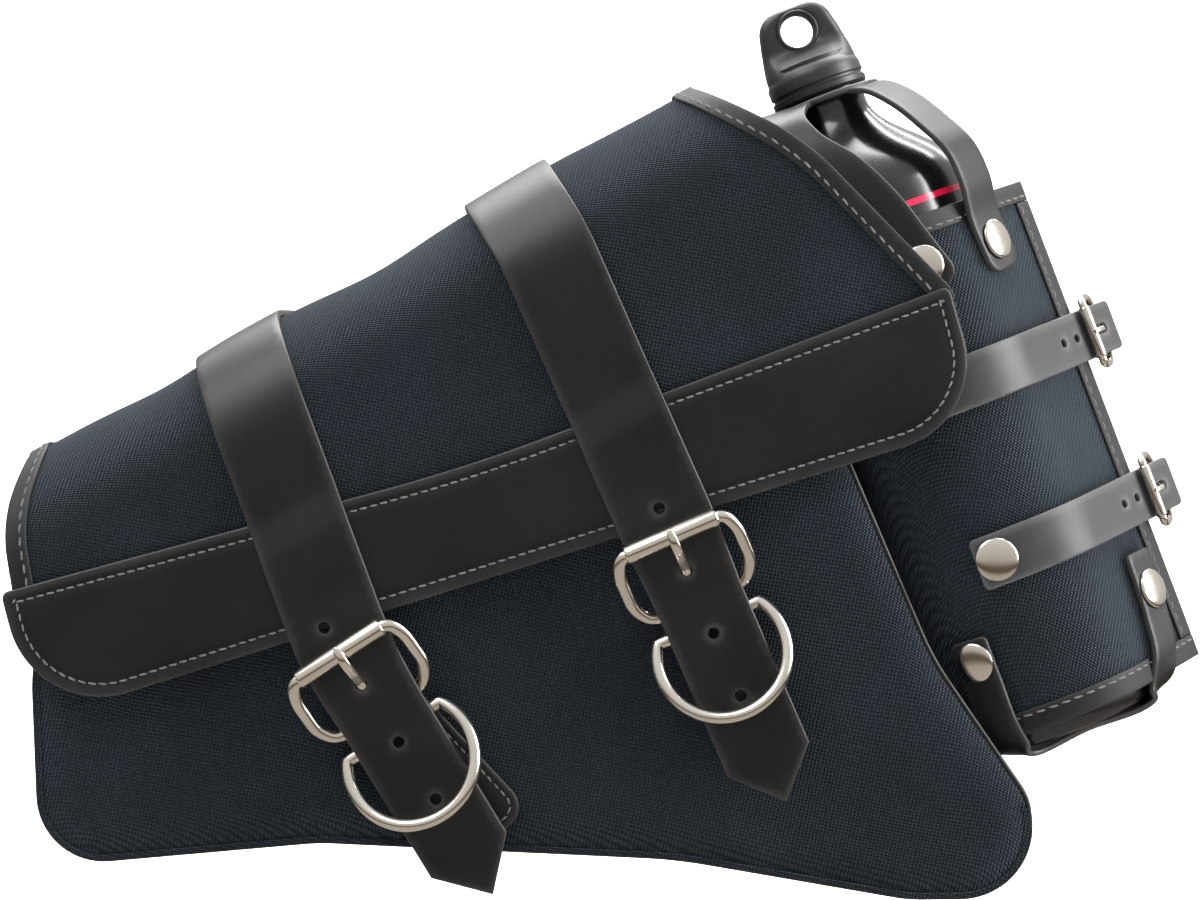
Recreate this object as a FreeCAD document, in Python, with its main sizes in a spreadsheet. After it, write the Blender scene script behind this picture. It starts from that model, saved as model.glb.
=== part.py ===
"""Canvas and leather pannier bag with a strapped-on bottle holder.

Frame: +X towards the bottle, +Y out of the back face (towards the bicycle), +Z up.
The origin lies on the outer face of the back panel.  All sizes are millimetres.
"""
import FreeCAD, Part
import math
import os
from FreeCAD import Placement, Rotation, Vector

DIMENSIONS = {
    # bag body
    "bag_depth": 98.0,
    "panel_thickness": 2.4,
    "wall_thickness": 2.0,
    "piping_width": 2.6,
    "piping_depth": 3.6,
    "stiffener_thickness": 1.8,
    # top edge and flap
    "ridge_lean": 29.0,
    "ridge_left_x": -171.0,
    "ridge_left_z": 52.0,
    "flap_clearance": 0.6,
    "flap_thickness": 2.4,
    "flap_back_drop": 30.6,
    "flap_back_radius": 27.0,
    "flap_front_radius": 40.0,
    "band_thickness": 2.5,
    "binding_thickness": 1.2,
    # closure straps
    "strap_width": 37.0,
    "strap_thickness": 3.0,
    "strap_stand_off": 7.8,
    "strap_front_radius": 44.0,
    "strap_hole_radius": 2.1,
    "strap_hole_pitch": 26.0,
    "strap_slot_width": 5.4,
    "strap_slot_height": 17.0,
    # closure buckles and rings
    "buckle_wire_radius": 1.9,
    "buckle_depth": 27.0,
    "roller_radius": 3.6,
    "roller_length": 38.0,
    "roller_gap": 0.2,
    "ring_wire_radius": 2.5,
    "ring_radius": 25.0,
    "ring_chord": 13.5,
    "ring_drop": 9.5,
    "ring_tilt": 20.0,
    "right_buckle_lean": 23.5,
    "left_buckle_lean": 33.0,
    "right_chape_length": 62.0,
    "left_chape_length": 66.0,
    "left_chape_lean": 43.0,
    "pin_clearance": 0.08,
    # bottle and holder
    "bottle_lean": 20.7,
    "neck_x": 119.5,
    "neck_y": -47.0,
    "neck_z": 184.3,
    "bottle_radius": 43.0,
    "bottle_skin": 1.6,
    "bottle_drop": 269.5,
    "bottle_foot": 10.0,
    "bottle_shoulder": 60.0,
    "neck_radius": 16.5,
    "cap_radius": 19.5,
    "cap_height": 38.0,
    "cap_hole_radius": 6.5,
    "sleeve_radius": 46.0,
    "sleeve_tip": 62.0,
    "sleeve_wall": 2.2,
    "sleeve_top": 60.0,
    "sleeve_bottom": 263.0,
    "belt_width": 20.5,
    "belt_thickness": 2.2,
    "belt_stand_off": 1.5,
    "upper_belt_drop": 127.0,
    "lower_belt_drop": 195.0,
    "belt_wire_radius": 1.3,
    "belt_buckle_depth": 16.0,
    "belt_roller_radius": 2.3,
    "belt_roller_length": 21.6,
    "belt_hole_radius": 1.6,
    "belt_slot_width": 4.0,
    "belt_slot_height": 9.0,
    # fasteners
    "eyelet_hole_radius": 3.3,
    "eyelet_barrel_radius": 6.4,
    "eyelet_flange_radius": 9.0,
    "eyelet_spacing_x": 180.0,
    "eyelet_spacing_z": 80.0,
    "eyelet_centre_x": -20.0,
    "eyelet_centre_z": -25.0,
    "rivet_radius": 8.4,
    "stud_radius": 8.0,
    "stud_height": 1.2,
}

doc = FreeCAD.newDocument("pannier_bag")
sheet = doc.addObject("Spreadsheet::Sheet", "Sizes")
for row, (alias, size) in enumerate(DIMENSIONS.items(), start=1):
    sheet.set("A%d" % row, alias)
    sheet.set("B%d" % row, "%g" % size)
    sheet.setAlias("B%d" % row, alias)
doc.recompute()

parts = {}
X = Vector(1, 0, 0)
Y = Vector(0, 1, 0)
Z = Vector(0, 0, 1)
UPRIGHT = Rotation(X, 90)


def size(alias):
    """One driving dimension, read back from the sheet."""
    return float(sheet.get(alias))


def bind(item, **properties):
    """Tie properties of an object to expressions; cell names get the sheet's prefix."""
    for name, expression in properties.items():
        words = expression.replace("(", " ( ").replace(")", " ) ").split()
        full = " ".join("Sizes." + word if word in DIMENSIONS else word for word in words)
        item.setExpression(name.replace("__", "."), full)


def name_part(node, item):
    """Give a finished sub-part the label that names its file."""
    item.Label = node
    parts[node] = item
    return item


# ---------------------------------------------------------------- outlines

def rounded(corners):
    """Lines and tangent arcs round a closed polygon of (x, y, radius) corners."""
    starts, mids, ends = [], [], []
    for i, (x, y, radius) in enumerate(corners):
        here = Vector(x, y, 0)
        to_last = (Vector(*corners[i - 1][:2], 0) - here).normalize()
        to_next = (Vector(*corners[(i + 1) % len(corners)][:2], 0) - here).normalize()
        half = to_last.getAngle(to_next) / 2
        reach = radius / math.tan(half)
        middle = (to_last + to_next).normalize() if radius else Vector()
        starts.append(here + to_last * reach)
        ends.append(here + to_next * reach)
        mids.append(here + middle * (radius / math.sin(half) - radius))
    edges = []
    for i, (x, y, radius) in enumerate(corners):
        if radius:
            edges.append(Part.Arc(starts[i], mids[i], ends[i]))
        following = starts[(i + 1) % len(corners)]
        if ends[i].distanceToPoint(following) > 1e-4:
            edges.append(Part.LineSegment(ends[i], following))
    return edges


def moved_corner(before, here, after, shift, radius):
    """The corner of two lines that both move by shift to the left of their direction."""
    first = Vector(here[0] - before[0], here[1] - before[1], 0).normalize()
    second = Vector(after[0] - here[0], after[1] - here[1], 0).normalize()
    normal_first = Vector(-first.y, first.x, 0)
    normal_second = Vector(-second.y, second.x, 0)
    bend = 1 + normal_first.dot(normal_second)
    step = (normal_first + normal_second) * (shift / bend)
    turns_left = first.cross(second).z > 0
    new_radius = max(radius + (-shift if turns_left else shift), 0.0) if radius else 0.0
    return (here[0] + step.x, here[1] + step.y, new_radius)


def inset(corners, distance):
    """The same closed outline, drawn anticlockwise, a distance further in."""
    count = len(corners)
    return [moved_corner(corners[i - 1], corners[i], corners[(i + 1) % count], distance, corners[i][2])
            for i in range(count)]


def ribbon(path, width, tip=0.0, tail_radius=0.0):
    """Closed outline of a band of even width along an open path of (x, y, radius) points."""
    sides = []
    for shift in (width / 2, -width / 2):
        side = []
        for i, (x, y, radius) in enumerate(path):
            if 0 < i < len(path) - 1:
                side.append(moved_corner(path[i - 1], path[i], path[i + 1], shift, radius))
                continue
            near, far = (path[0], path[1]) if i == 0 else (path[-2], path[-1])
            along = Vector(far[0] - near[0], far[1] - near[1], 0).normalize()
            radius_here = tail_radius if i else 0.0
            back = along * (-tip if i else 0.0)
            side.append((x - along.y * shift + back.x, y + along.x * shift + back.y, radius_here))
        sides.append(side)
    point = [(path[-1][0], path[-1][1], 3.0)] if tip else []
    return sides[0] + point + sides[1][::-1]


def sketch(name, corners, placement, holes=()):
    """A free sketch of one outline and any holes, each hole (x, y, radius) or an outline."""
    drawing = doc.addObject("Sketcher::SketchObject", name)
    draw(drawing, corners, holes)
    drawing.Placement = placement
    return drawing


def draw(drawing, corners, holes=()):
    """Put an outline, with round or outlined holes, into a sketch."""
    drawing.addGeometry(rounded(corners), False)
    for hole in holes:
        if isinstance(hole, tuple):
            drawing.addGeometry(Part.Circle(Vector(hole[0], hole[1], 0), Z, hole[2]), False)
        else:
            drawing.addGeometry(rounded(hole), False)


def extrusion(name, profile, length, symmetric=False):
    """A solid drawn out of a sketch along its normal; length is an expression or a number."""
    solid = doc.addObject("Part::Extrusion", name)
    solid.Base = profile
    solid.DirMode = "Normal"
    solid.Solid = True
    solid.FaceMakerClass = "Part::FaceMakerBullseye"
    solid.Symmetric = symmetric
    if isinstance(length, str):
        bind(solid, LengthFwd=length)
    else:
        solid.LengthFwd = length
    return solid


def slab(name, corners, back, thickness, holes=()):
    """A flat piece in the X-Z plane, from Y = -back towards the front."""
    profile = sketch(name + "_outline", corners, Placement(Vector(), UPRIGHT), holes)
    bind(profile, Placement__Base__y="0 - ( " + back + " )")
    return extrusion(name, profile, thickness)


def plate(node, corners, back, thickness, holes=()):
    """A flat sub-part as a body with one sketch and one pad."""
    body = doc.addObject("PartDesign::Body", node + "_body")
    plane = [item for item in body.Origin.OriginFeatures if item.Role == "XZ_Plane"][0]
    profile = body.newObject("Sketcher::SketchObject", node + "_sketch")
    profile.AttachmentSupport = (plane, [""])
    profile.MapMode = "FlatFace"
    draw(profile, corners, holes)
    pad = body.newObject("PartDesign::Pad", node + "_pad")
    pad.Profile = profile
    bind(pad, Length=thickness)
    bind(body, Placement__Base__y="0 - ( " + back + " )")
    return name_part(node, body)


# ---------------------------------------------------------------- booleans and rods

def join(name, items, placement=None):
    """One solid from several overlapping ones."""
    fused = doc.addObject("Part::MultiFuse", name)
    fused.Shapes = items
    if placement:
        fused.Placement = placement
    return fused


def cut(name, base, tool, placement=None):
    """The base less the tool."""
    result = doc.addObject("Part::Cut", name)
    result.Base = base
    result.Tool = tool
    if placement:
        result.Placement = placement
    return result


def common(name, first, second):
    """What two solids share."""
    result = doc.addObject("Part::MultiCommon", name)
    result.Shapes = [first, second]
    return result


def compound(name, items):
    """Several separate solids kept as one sub-part."""
    group = doc.addObject("Part::Compound", name)
    group.Links = items
    return group


def rod(name, start, end, radius, place=None):
    """A cylinder between two points; radius is an expression."""
    cylinder = doc.addObject("Part::Cylinder", name)
    bind(cylinder, Radius=radius)
    cylinder.Height = (end - start).Length
    own = Placement(start, Rotation(Z, end - start))
    cylinder.Placement = place.multiply(own) if place else own
    return cylinder


def ball(name, centre, radius):
    """A sphere that rounds the joint of two rods."""
    sphere = doc.addObject("Part::Sphere", name)
    bind(sphere, Radius=radius)
    sphere.Placement = Placement(centre, Rotation())
    return sphere


def leaning(origin, degrees):
    """A placement turned so that its local z leans towards -X by an angle."""
    return Placement(origin, Rotation(Y, -degrees))


# ---------------------------------------------------------------- bag body

MOUTH_LEFT, MOUTH_RIGHT = (-181.9, -6.6), (81.8, 139.6)
FOOT = [(-189, -45, 60), (-186, -119, 26), (-78, -109.5, 90), (60, -116, 200),
        (150, -131.5, 60), (201, -131, 28)]
FRONT_OUTLINE = ([(*MOUTH_LEFT, 6)] + FOOT
                 + [(197, -92, 20), (160, -38, 100), (128.6, 35.8, 200), (*MOUTH_RIGHT, 6)])
WALL_SIDE = [(197, -93, 6), (172.9, -93, 10), (124.3, 35.8, 100)]
WALL_OUTLINE = [(*MOUTH_LEFT, 3)] + FOOT + WALL_SIDE + [(79, 138.1, 3)]
BACK_OUTLINE = [(-178.8, 9.9, 4)] + FOOT + WALL_SIDE + [(73.6, 150.0, 4)]


def eyelet_places():
    """Centres of the four back eyelets, as (x, z)."""
    half_x, half_z = size("eyelet_spacing_x") / 2, size("eyelet_spacing_z") / 2
    centre_x, centre_z = size("eyelet_centre_x"), size("eyelet_centre_z")
    return [(centre_x + i * half_x, centre_z + k * half_z) for i in (-1, 1) for k in (-1, 1)]


def make_body():
    """Back and front panels, the wall between them, their piping and the stiffener."""
    bar = size("piping_width")
    holes = [(x, z, size("eyelet_barrel_radius") + 0.05) for x, z in eyelet_places()]
    plate("back_panel", inset(BACK_OUTLINE, bar + 0.1), "0", "panel_thickness", holes)
    plate("front_panel", inset(FRONT_OUTLINE, bar + 0.1),
          "bag_depth - panel_thickness - 0.2", "panel_thickness")
    plate("back_stiffener", inset(WALL_OUTLINE, 8.0), "panel_thickness + 0.1",
          "stiffener_thickness", holes)
    plate("back_piping", BACK_OUTLINE, "0", "piping_depth", [inset(BACK_OUTLINE, bar)])
    plate("front_piping", FRONT_OUTLINE, "bag_depth - piping_depth", "piping_depth",
          [inset(FRONT_OUTLINE, bar)])
    inner = inset(WALL_OUTLINE, size("wall_thickness"))
    inner[0] = (inner[0][0] - 6, inner[0][1] + 34, 0)
    inner[-1] = (inner[-1][0] - 14, inner[-1][1] + 34, 0)
    outer_solid = slab("wall_outer", WALL_OUTLINE, "piping_depth + 0.1",
                       "bag_depth - 2 * piping_depth - 0.2")
    inner_solid = slab("wall_inner", inner, "0", "bag_depth")
    name_part("gusset", cut("wall", outer_solid, inner_solid))


def make_eyelets():
    """Four flanged eyelets, flush with the back face, for the carrier bolts."""
    rings = []
    for i, (x, z) in enumerate(eyelet_places()):
        back, inside = Vector(x, 0, z), Vector(x, -4.4, z)
        barrel = rod("eyelet_barrel_%d" % i, back, inside, "eyelet_barrel_radius")
        flange = rod("eyelet_flange_%d" % i, inside, inside - Y * 1.2, "eyelet_flange_radius")
        hole = rod("eyelet_hole_%d" % i, back + Y, inside - Y * 3, "eyelet_hole_radius")
        rings.append(cut("eyelet_%d" % i, join("eyelet_solid_%d" % i, [barrel, flange]), hole))
    name_part("mount_eyelets", compound("eyelets", rings))


# ---------------------------------------------------------------- flap

FLAP_RIGHT = [(60, 187, 4), (110, 161, 100), (166, 104, 12)]
FLAP_FRONT = [(179, 53.5, 34), (-186, -62, 36)]
FLAP_LEFT = [(-199, 14, 60), (-190, 48, 20), (-174, 57, 4)]
FLAP_OUTLINE = FLAP_RIGHT + FLAP_FRONT + FLAP_LEFT
BAND_TOP = [(164.5, 105.4, 3), (-20, 38.5, 600), (-199, -12.5, 3)]
EDGE_WIDTH = 8.0


def fold_plane():
    """The plane square to the ridge: local x is +Y and local y points up from the ridge."""
    lean = math.radians(size("ridge_lean"))
    along = Vector(math.cos(lean), 0, math.sin(lean))
    origin = Vector(size("ridge_left_x"), 0, size("ridge_left_z")) - along * 60
    return Placement(origin, Rotation(Y, Vector(-math.sin(lean), 0, math.cos(lean)), along, "ZXY"))


def folded(name, path, thickness, corners):
    """A sheet that follows a fold over the ridge, trimmed to a front outline."""
    profile = sketch(name + "_fold", ribbon(path, thickness), fold_plane())
    sheet_solid = extrusion(name + "_sheet", profile, 420.0)
    return common(name + "_trimmed", sheet_solid, slab(name + "_trim", corners, "0", 130.0))


def make_flap():
    """The flap over the mouth with its leather band and edge bindings."""
    thick = size("flap_thickness")
    middle = size("bag_depth") + size("flap_clearance") + thick / 2
    path = [(-thick / 2 - 0.1, -size("flap_back_drop"), 0),
            (-thick / 2 - 0.1, -thick / 2, size("flap_back_radius")),
            (-middle, -thick / 2, size("flap_front_radius")), (-middle, -230, 0)]
    name_part("flap", folded("flap", path, thick, FLAP_OUTLINE))
    band = FLAP_FRONT + BAND_TOP[::-1]
    plate("flap_band", band, "bag_depth + flap_clearance + flap_thickness + 0.1", "band_thickness")
    cover = size("binding_thickness")
    front = middle + thick / 2 + cover / 2 + 0.05
    rise = cover / 2 + 0.05
    bend = size("flap_front_radius") + thick / 2 + rise
    edge_path = [(-32, rise, 0), (-front, rise, bend), (-front, -230, 0)]
    right = ribbon([(44, 192.5, 0), (107, 157.5, 100), (155, 106.5, 0)], EDGE_WIDTH)
    left = ribbon([(-166, 54, 0), (-186.8, 45, 18), (-194.4, 12, 60), (-193, -8.5, 0)], EDGE_WIDTH)
    name_part("flap_right_binding", folded("right_edge", edge_path, cover, right))
    name_part("flap_left_binding", folded("left_edge", edge_path, cover, left))


# ---------------------------------------------------------------- closure straps and buckles

STRAPS = {
    "right": {"hinge": (68.7, -15.3), "route": [(-16, 163, 0), (10, 119.5, 120), (62.5, 0, 300),
                                                 (102, -92, 0)]},
    "left": {"hinge": (-53.5, -57.8), "route": [(-122, 115, 0), (-66, -36, 150), (-10, -127.5, 0)]},
}
TIP_LENGTH = 16.0


def strap_face():
    """Distance of a closure strap's inner face from the back."""
    return size("bag_depth") + size("strap_stand_off")


def buckle_place(side):
    """Local frame of a buckle: x across, z up the strap, y = 0 on the strap's inner face."""
    x, z = STRAPS[side]["hinge"]
    return leaning(Vector(x, -strap_face(), z), size(side + "_buckle_lean"))


def strap_holes(side):
    """Front-view places of a strap's adjustment holes, spaced along the buckle's direction."""
    place = buckle_place(side)
    pitch = size("strap_hole_pitch")
    spots = [place.multVec(Vector(0, 0, 12.5 + step * pitch)) for step in (1, -1, -2)]
    return [(spot.x, spot.z) for spot in spots]


def make_strap(side):
    """A strap from the top of the flap, under the roller, to its pointed tail."""
    thick = size("strap_thickness")
    front = strap_face() + thick / 2
    rise = thick / 2 + 0.1
    path = [(-26, rise, 0), (-front, rise, size("strap_front_radius")), (-front, -260, 0)]
    corners = ribbon(STRAPS[side]["route"], size("strap_width"), TIP_LENGTH, 4.0)
    blank = folded("strap_" + side, path, thick, corners)
    place = buckle_place(side)
    tools = [rod("strap_hole_%s_%d" % (side, i), Vector(x, -140, z), Vector(x, -90, z),
                 "strap_hole_radius") for i, (x, z) in enumerate(strap_holes(side))]
    slot = doc.addObject("Part::Box", "strap_slot_" + side)
    bind(slot, Length="strap_slot_width", Height="strap_slot_height")
    slot.Width = 20
    slot.Placement = place.multiply(Placement(Vector(-size("strap_slot_width") / 2, -10, 0.5),
                                              Rotation()))
    tool = join("strap_holes_" + side, tools + [slot])
    name_part("closure_strap_" + side, cut("strap_cut_" + side, blank, tool))


def make_frame(node, place, depth, half_width, wire, roller_half, hinge_y, roller_y, bar_radius):
    """A buckle's wire frame: hinge bar, two bowed arms and the thinner bar in the roller."""
    def at(x, share):
        return Vector(x, hinge_y + (roller_y - hinge_y) * share, depth * share)

    items = []
    left = [at(-half_width * 0.8, 0), at(-half_width, 0.25), at(-half_width, 0.75),
            at(-roller_half - 2.4, 1)]
    route = left + [Vector(-p.x, p.y, p.z) for p in left[::-1]]
    route.append(route[0])
    for i in range(len(route) - 1):
        radius = bar_radius if i == 3 else wire
        items.append(rod("%s_rod_%d" % (node, i), route[i], route[i + 1], radius))
        items.append(ball("%s_ball_%d" % (node, i), route[i], wire))
    name_part(node, join(node + "_wire", items, place))


def make_roller(node, place, radius, bar, half, centre):
    """A tube that turns on the buckle's front bar."""
    start, end = centre - X * half, centre + X * half
    tube = rod(node + "_tube", start, end, radius)
    bore = rod(node + "_bore", start - X, end + X, bar + " + pin_clearance")
    name_part(node, cut(node + "_cut", tube, bore, place))


def make_prong(node, place, path, width, thickness, eye, eye_radius, bore_radius):
    """A flat prong with an eye on the hinge bar; its tip rests on the roller."""
    plane = Placement(Vector(-width / 2, 0, 0), Rotation(Y, Z, X, "ZXY"))
    shank = extrusion(node + "_shank", sketch(node + "_side", ribbon(path, thickness), plane), width)
    ring = rod(node + "_eye", eye - X * width / 2, eye + X * width / 2, eye_radius)
    bore = rod(node + "_bore", eye - X * width, eye + X * width, bore_radius)
    name_part(node, cut(node + "_cut", join(node + "_solid", [shank, ring]), bore, place))


def make_closure_buckle(side):
    """Frame, roller, prong and D-ring of one closure strap."""
    place = buckle_place(side)
    depth = size("buckle_depth")
    hinge_y = size("buckle_wire_radius") + 1.5
    roller_y = -size("strap_thickness") - size("roller_gap") - size("roller_radius")
    make_frame("buckle_frame_" + side, place, depth, 24.5, "buckle_wire_radius",
               size("roller_length") / 2, hinge_y, roller_y, "buckle_wire_radius - 0.3")
    make_roller("buckle_roller_" + side, place, "roller_radius", "buckle_wire_radius - 0.3",
                size("roller_length") / 2, Vector(0, roller_y, depth))
    front = roller_y - size("roller_radius") - 1.7
    path = [(hinge_y - 1.2, 1.6, 0), (-1.6, 12.6, 8), (front, 22.5, 7), (front, 32.5, 0)]
    make_prong("buckle_prong_" + side, place, path, 4.2, 2.6, Vector(0, hinge_y, 0),
               "buckle_wire_radius + 1.2", "buckle_wire_radius + pin_clearance")
    make_ring(side, place)


def make_ring(side, place):
    """A D-ring: a straight bar held by the chape and an arc that lies over the strap's tail."""
    node = "d_ring_" + side
    radius, chord = size("ring_radius"), size("ring_chord")
    half = math.sqrt(radius ** 2 - chord ** 2)
    corner = math.degrees(math.atan2(chord, half))
    arc = doc.addObject("Part::Torus", node + "_arc")
    bind(arc, Radius1="ring_radius", Radius2="ring_wire_radius")
    arc.Angle3 = 180 + 2 * corner
    turn = Rotation(X, 90).multiply(Rotation(Z, 180 - corner))
    arc.Placement = Placement(Vector(0, 0, -chord), turn)
    ends = [Vector(-half, 0, 0), Vector(half, 0, 0)]
    items = [arc, rod(node + "_bar", ends[0], ends[1], "ring_wire_radius")]
    items += [ball("%s_end_%d" % (node, i), end, "ring_wire_radius") for i, end in enumerate(ends)]
    own = Placement(Vector(0, size("ring_wire_radius") + 1.3, -size("ring_drop")),
                    Rotation(X, -size("ring_tilt")))
    name_part(node, join(node + "_wire", items, place.multiply(own)))


def make_chape(side, lean, length):
    """The sewn leather strip that holds the buckle's hinge bar and the D-ring's bar."""
    node = "chape_" + side
    place = buckle_place(side)
    behind = size("strap_stand_off") - 0.2
    strip_place = leaning(place.Base, lean)
    plane = Placement(Vector(0, behind, 0), UPRIGHT)
    strip = extrusion(node + "_strip", sketch(node + "_outline", ribbon(
        [(0, 2.0, 0), (0, -length, 0)], 32.0, 0.0, 9.0), plane), 2.0)
    flat = compound(node + "_flat", [strip])
    flat.Placement = place.inverse().multiply(strip_place)
    hinge_y = size("buckle_wire_radius") + 1.5
    ring_y = size("ring_wire_radius") + 1.3
    loops = []
    for i, side_sign in enumerate((-1, 1)):
        near, far = Vector(3.2 * side_sign, hinge_y, 0), Vector(14 * side_sign, hinge_y, 0)
        loops.append(rod("%s_loop_%d" % (node, i), near, far, "buckle_wire_radius + 1.2"))
        block = doc.addObject("Part::Box", "%s_web_%d" % (node, i))
        block.Length, block.Width, block.Height = 10.8, behind - hinge_y, 5.0
        block.Placement = Placement(Vector(min(near.x, far.x), hinge_y, -2.5), Rotation())
        loops.append(block)
    low = Vector(0, ring_y, -size("ring_drop"))
    loops.append(rod(node + "_ring_loop", low - X * 14, low + X * 14, "ring_wire_radius + 0.9"))
    web = doc.addObject("Part::Box", node + "_ring_web")
    web.Length, web.Width, web.Height = 28, behind - ring_y, 5.0
    web.Placement = Placement(Vector(-14, ring_y, low.z - 2.5), Rotation())
    bores = [rod(node + "_hinge_bore", Vector(-30, hinge_y, 0), Vector(30, hinge_y, 0),
                 "buckle_wire_radius + pin_clearance"),
             rod(node + "_ring_bore", low - X * 30, low + X * 30, "ring_wire_radius + pin_clearance"),
             rod(node + "_prong_gap", Vector(-3.2, hinge_y, 0), Vector(3.2, hinge_y, 0),
                 "buckle_wire_radius + 1.6")]
    solid = join(node + "_solid", [flat, web] + loops)
    name_part(node, cut(node + "_cut", solid, join(node + "_bores", bores), place))


# ---------------------------------------------------------------- bottle and its holder

WALL_STAVES = 16


def bottle_place():
    """Local frame of the bottle: z up its axis, y as the bag's, origin at the neck's top."""
    return leaning(Vector(size("neck_x"), size("neck_y"), size("neck_z")), size("bottle_lean"))


def revolved(name, corners, place):
    """A solid turned about the bottle's axis from an outline of (radius, height, rounding)."""
    profile = sketch(name + "_profile", corners, Placement(Vector(), UPRIGHT))
    turned = doc.addObject("Part::Revolution", name)
    turned.Source = profile
    turned.Axis = Z
    turned.Angle = 360
    turned.Solid = True
    turned.Placement = place
    return turned


def staves(name, corners, place):
    """A turned wall in equal staves, each nearly flat, so that its inside stays open to collision."""
    step = 360.0 / WALL_STAVES
    made = []
    for i in range(WALL_STAVES):
        spin = Placement(Vector(), Rotation(Z, step * i))
        stave = revolved("%s_%d" % (name, i), corners, place.multiply(spin))
        stave.Angle = step
        made.append(stave)
    return compound(name, made)


def make_bottle():
    """The bottle's wall, base and shoulder, its painted ring, cap and cap seal."""
    place = bottle_place()
    outer, wall, neck = size("bottle_radius"), size("bottle_skin"), size("neck_radius")
    inner = outer - wall
    floor = -size("bottle_drop")
    low, high = floor + size("bottle_foot"), -size("bottle_shoulder")
    mouth = neck - 4
    tube = [(inner, low, 0), (outer, low, 0), (outer, high, 0), (inner, high, 0)]
    base = [(0, floor, 0), (outer, floor, 6), (outer, low, 0), (inner, low, 0),
            (inner, floor + wall, 4), (0, floor + wall, 0)]
    shoulder = [(inner, high, 0), (outer, high, 0), (outer, -44, 12), (34, -28, 14), (neck, -12, 6),
                (neck, 12, 0), (mouth, 12, 0), (mouth, -13, 6), (33, -30.5, 12), (inner, -46, 10)]
    name_part("bottle_wall", staves("bottle_stave", tube, place))
    for node, corners in (("bottle_base", base), ("bottle_shoulder", shoulder)):
        name_part(node, revolved(node + "_solid", corners, place))
    ring = [(outer + 0.05, -55.5, 0), (outer + 0.35, -55.5, 0), (outer + 0.35, -53, 0),
            (outer + 0.05, -53, 0)]
    name_part("bottle_ring", revolved("bottle_ring_solid", ring, place))
    seal = [(mouth, 12.1, 0), (neck, 12.1, 0), (neck, 13.9, 0), (mouth, 13.9, 0)]
    name_part("cap_seal", revolved("seal_solid", seal, place))
    make_cap(place)


def make_cap(place):
    """A screw cap with a flat lifting loop."""
    radius, top = size("cap_radius"), size("cap_height")
    inner = size("neck_radius") + 0.2
    skirt = [(inner, -0.4, 0), (radius, -0.4, 1), (radius, 10, 3), (15.5, 19, 3), (0, 19, 0),
             (0, 14, 0), (inner, 14, 0)]
    skirt_solid = revolved("cap_skirt", skirt, Placement())
    loop_outline = [(-radius + 0.5, 3, 0), (radius - 0.5, 3, 0), (17, 24, 30), (14, top, 9),
                    (-14, top, 9), (-17, 24, 30)]
    plane = Placement(Vector(0, 5.5, 0), UPRIGHT)
    hole = (0, 27.6, size("cap_hole_radius"))
    loop = extrusion("cap_loop", sketch("cap_loop_outline", loop_outline, plane, [hole]), 11.0)
    hollow = rod("cap_hollow", Vector(0, 0, -2), Vector(0, 0, 14), "neck_radius + 0.2")
    name_part("cap", cut("cap_cut", join("cap_solid", [skirt_solid, loop]), hollow, place))


def teardrop(grow):
    """Section of the holder: round the bottle, with straight sides that meet at one edge."""
    radius, tip = size("sleeve_radius") + grow, size("sleeve_tip") + grow * 1.2
    slope = math.acos(radius / tip)
    shoulder = radius * (1 - math.sin(slope)) / math.cos(slope)
    return [(-radius, -radius, radius), (shoulder, -radius, radius), (tip, 0, 2.0),
            (shoulder, radius, radius), (-radius, radius, radius)]


def holder_tube(node, outer, inner, top, bottom):
    """A teardrop tube round the bottle's axis between two drops below the neck."""
    plane = Placement(Vector(0, 0, -bottom), Rotation())
    profile = sketch(node + "_section", teardrop(outer), plane, [teardrop(inner)])
    tube = extrusion(node + "_tube", profile, bottom - top)
    return tube


def place_in_holder(node, item):
    """Move a piece from the bottle's local frame to where the bottle is."""
    item.Placement = bottle_place().multiply(item.Placement)
    return name_part(node, item)


def make_holder():
    """The sleeve, its two rim bindings and the binding of its outer edge."""
    wall, cover = size("sleeve_wall"), size("binding_thickness")
    top, bottom = size("sleeve_top"), size("sleeve_bottom")
    sleeve = holder_tube("sleeve", 0, -wall, top, bottom)
    place_in_holder("holder_sleeve", join_one("sleeve_solid", sleeve))
    for rim, start, end in (("top", top, top + 8), ("bottom", bottom - 9, bottom)):
        tube = holder_tube("rim_" + rim, cover, 0.05, start, end)
        place_in_holder("holder_%s_binding" % rim, join_one("rim_solid_" + rim, tube))
    outer = holder_tube("edge", cover, 0.05, top + 8.1, bottom - 9.1)
    block = doc.addObject("Part::Box", "edge_zone")
    block.Length, block.Width, block.Height = 30, 40, bottom - top
    block.Placement = Placement(Vector(size("sleeve_tip") - 6.0, -20, -bottom), Rotation())
    place_in_holder("holder_edge_binding", common("edge_solid", outer, block))


def join_one(name, item):
    """Wrap one solid in a compound, so that it can be placed as a whole."""
    return compound(name, [item])


def side_slope():
    """Direction of the holder's front face: its outward normal leans this far from the front."""
    return 90 - math.degrees(math.acos(size("sleeve_radius") / size("sleeve_tip")))


def facing(turn):
    """Outward normal and sideways direction at an angle round the bottle, 0 at the front."""
    angle = math.radians(turn)
    outward = Vector(math.sin(angle), -math.cos(angle), 0)
    return outward, Vector(math.cos(angle), math.sin(angle), 0)


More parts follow.
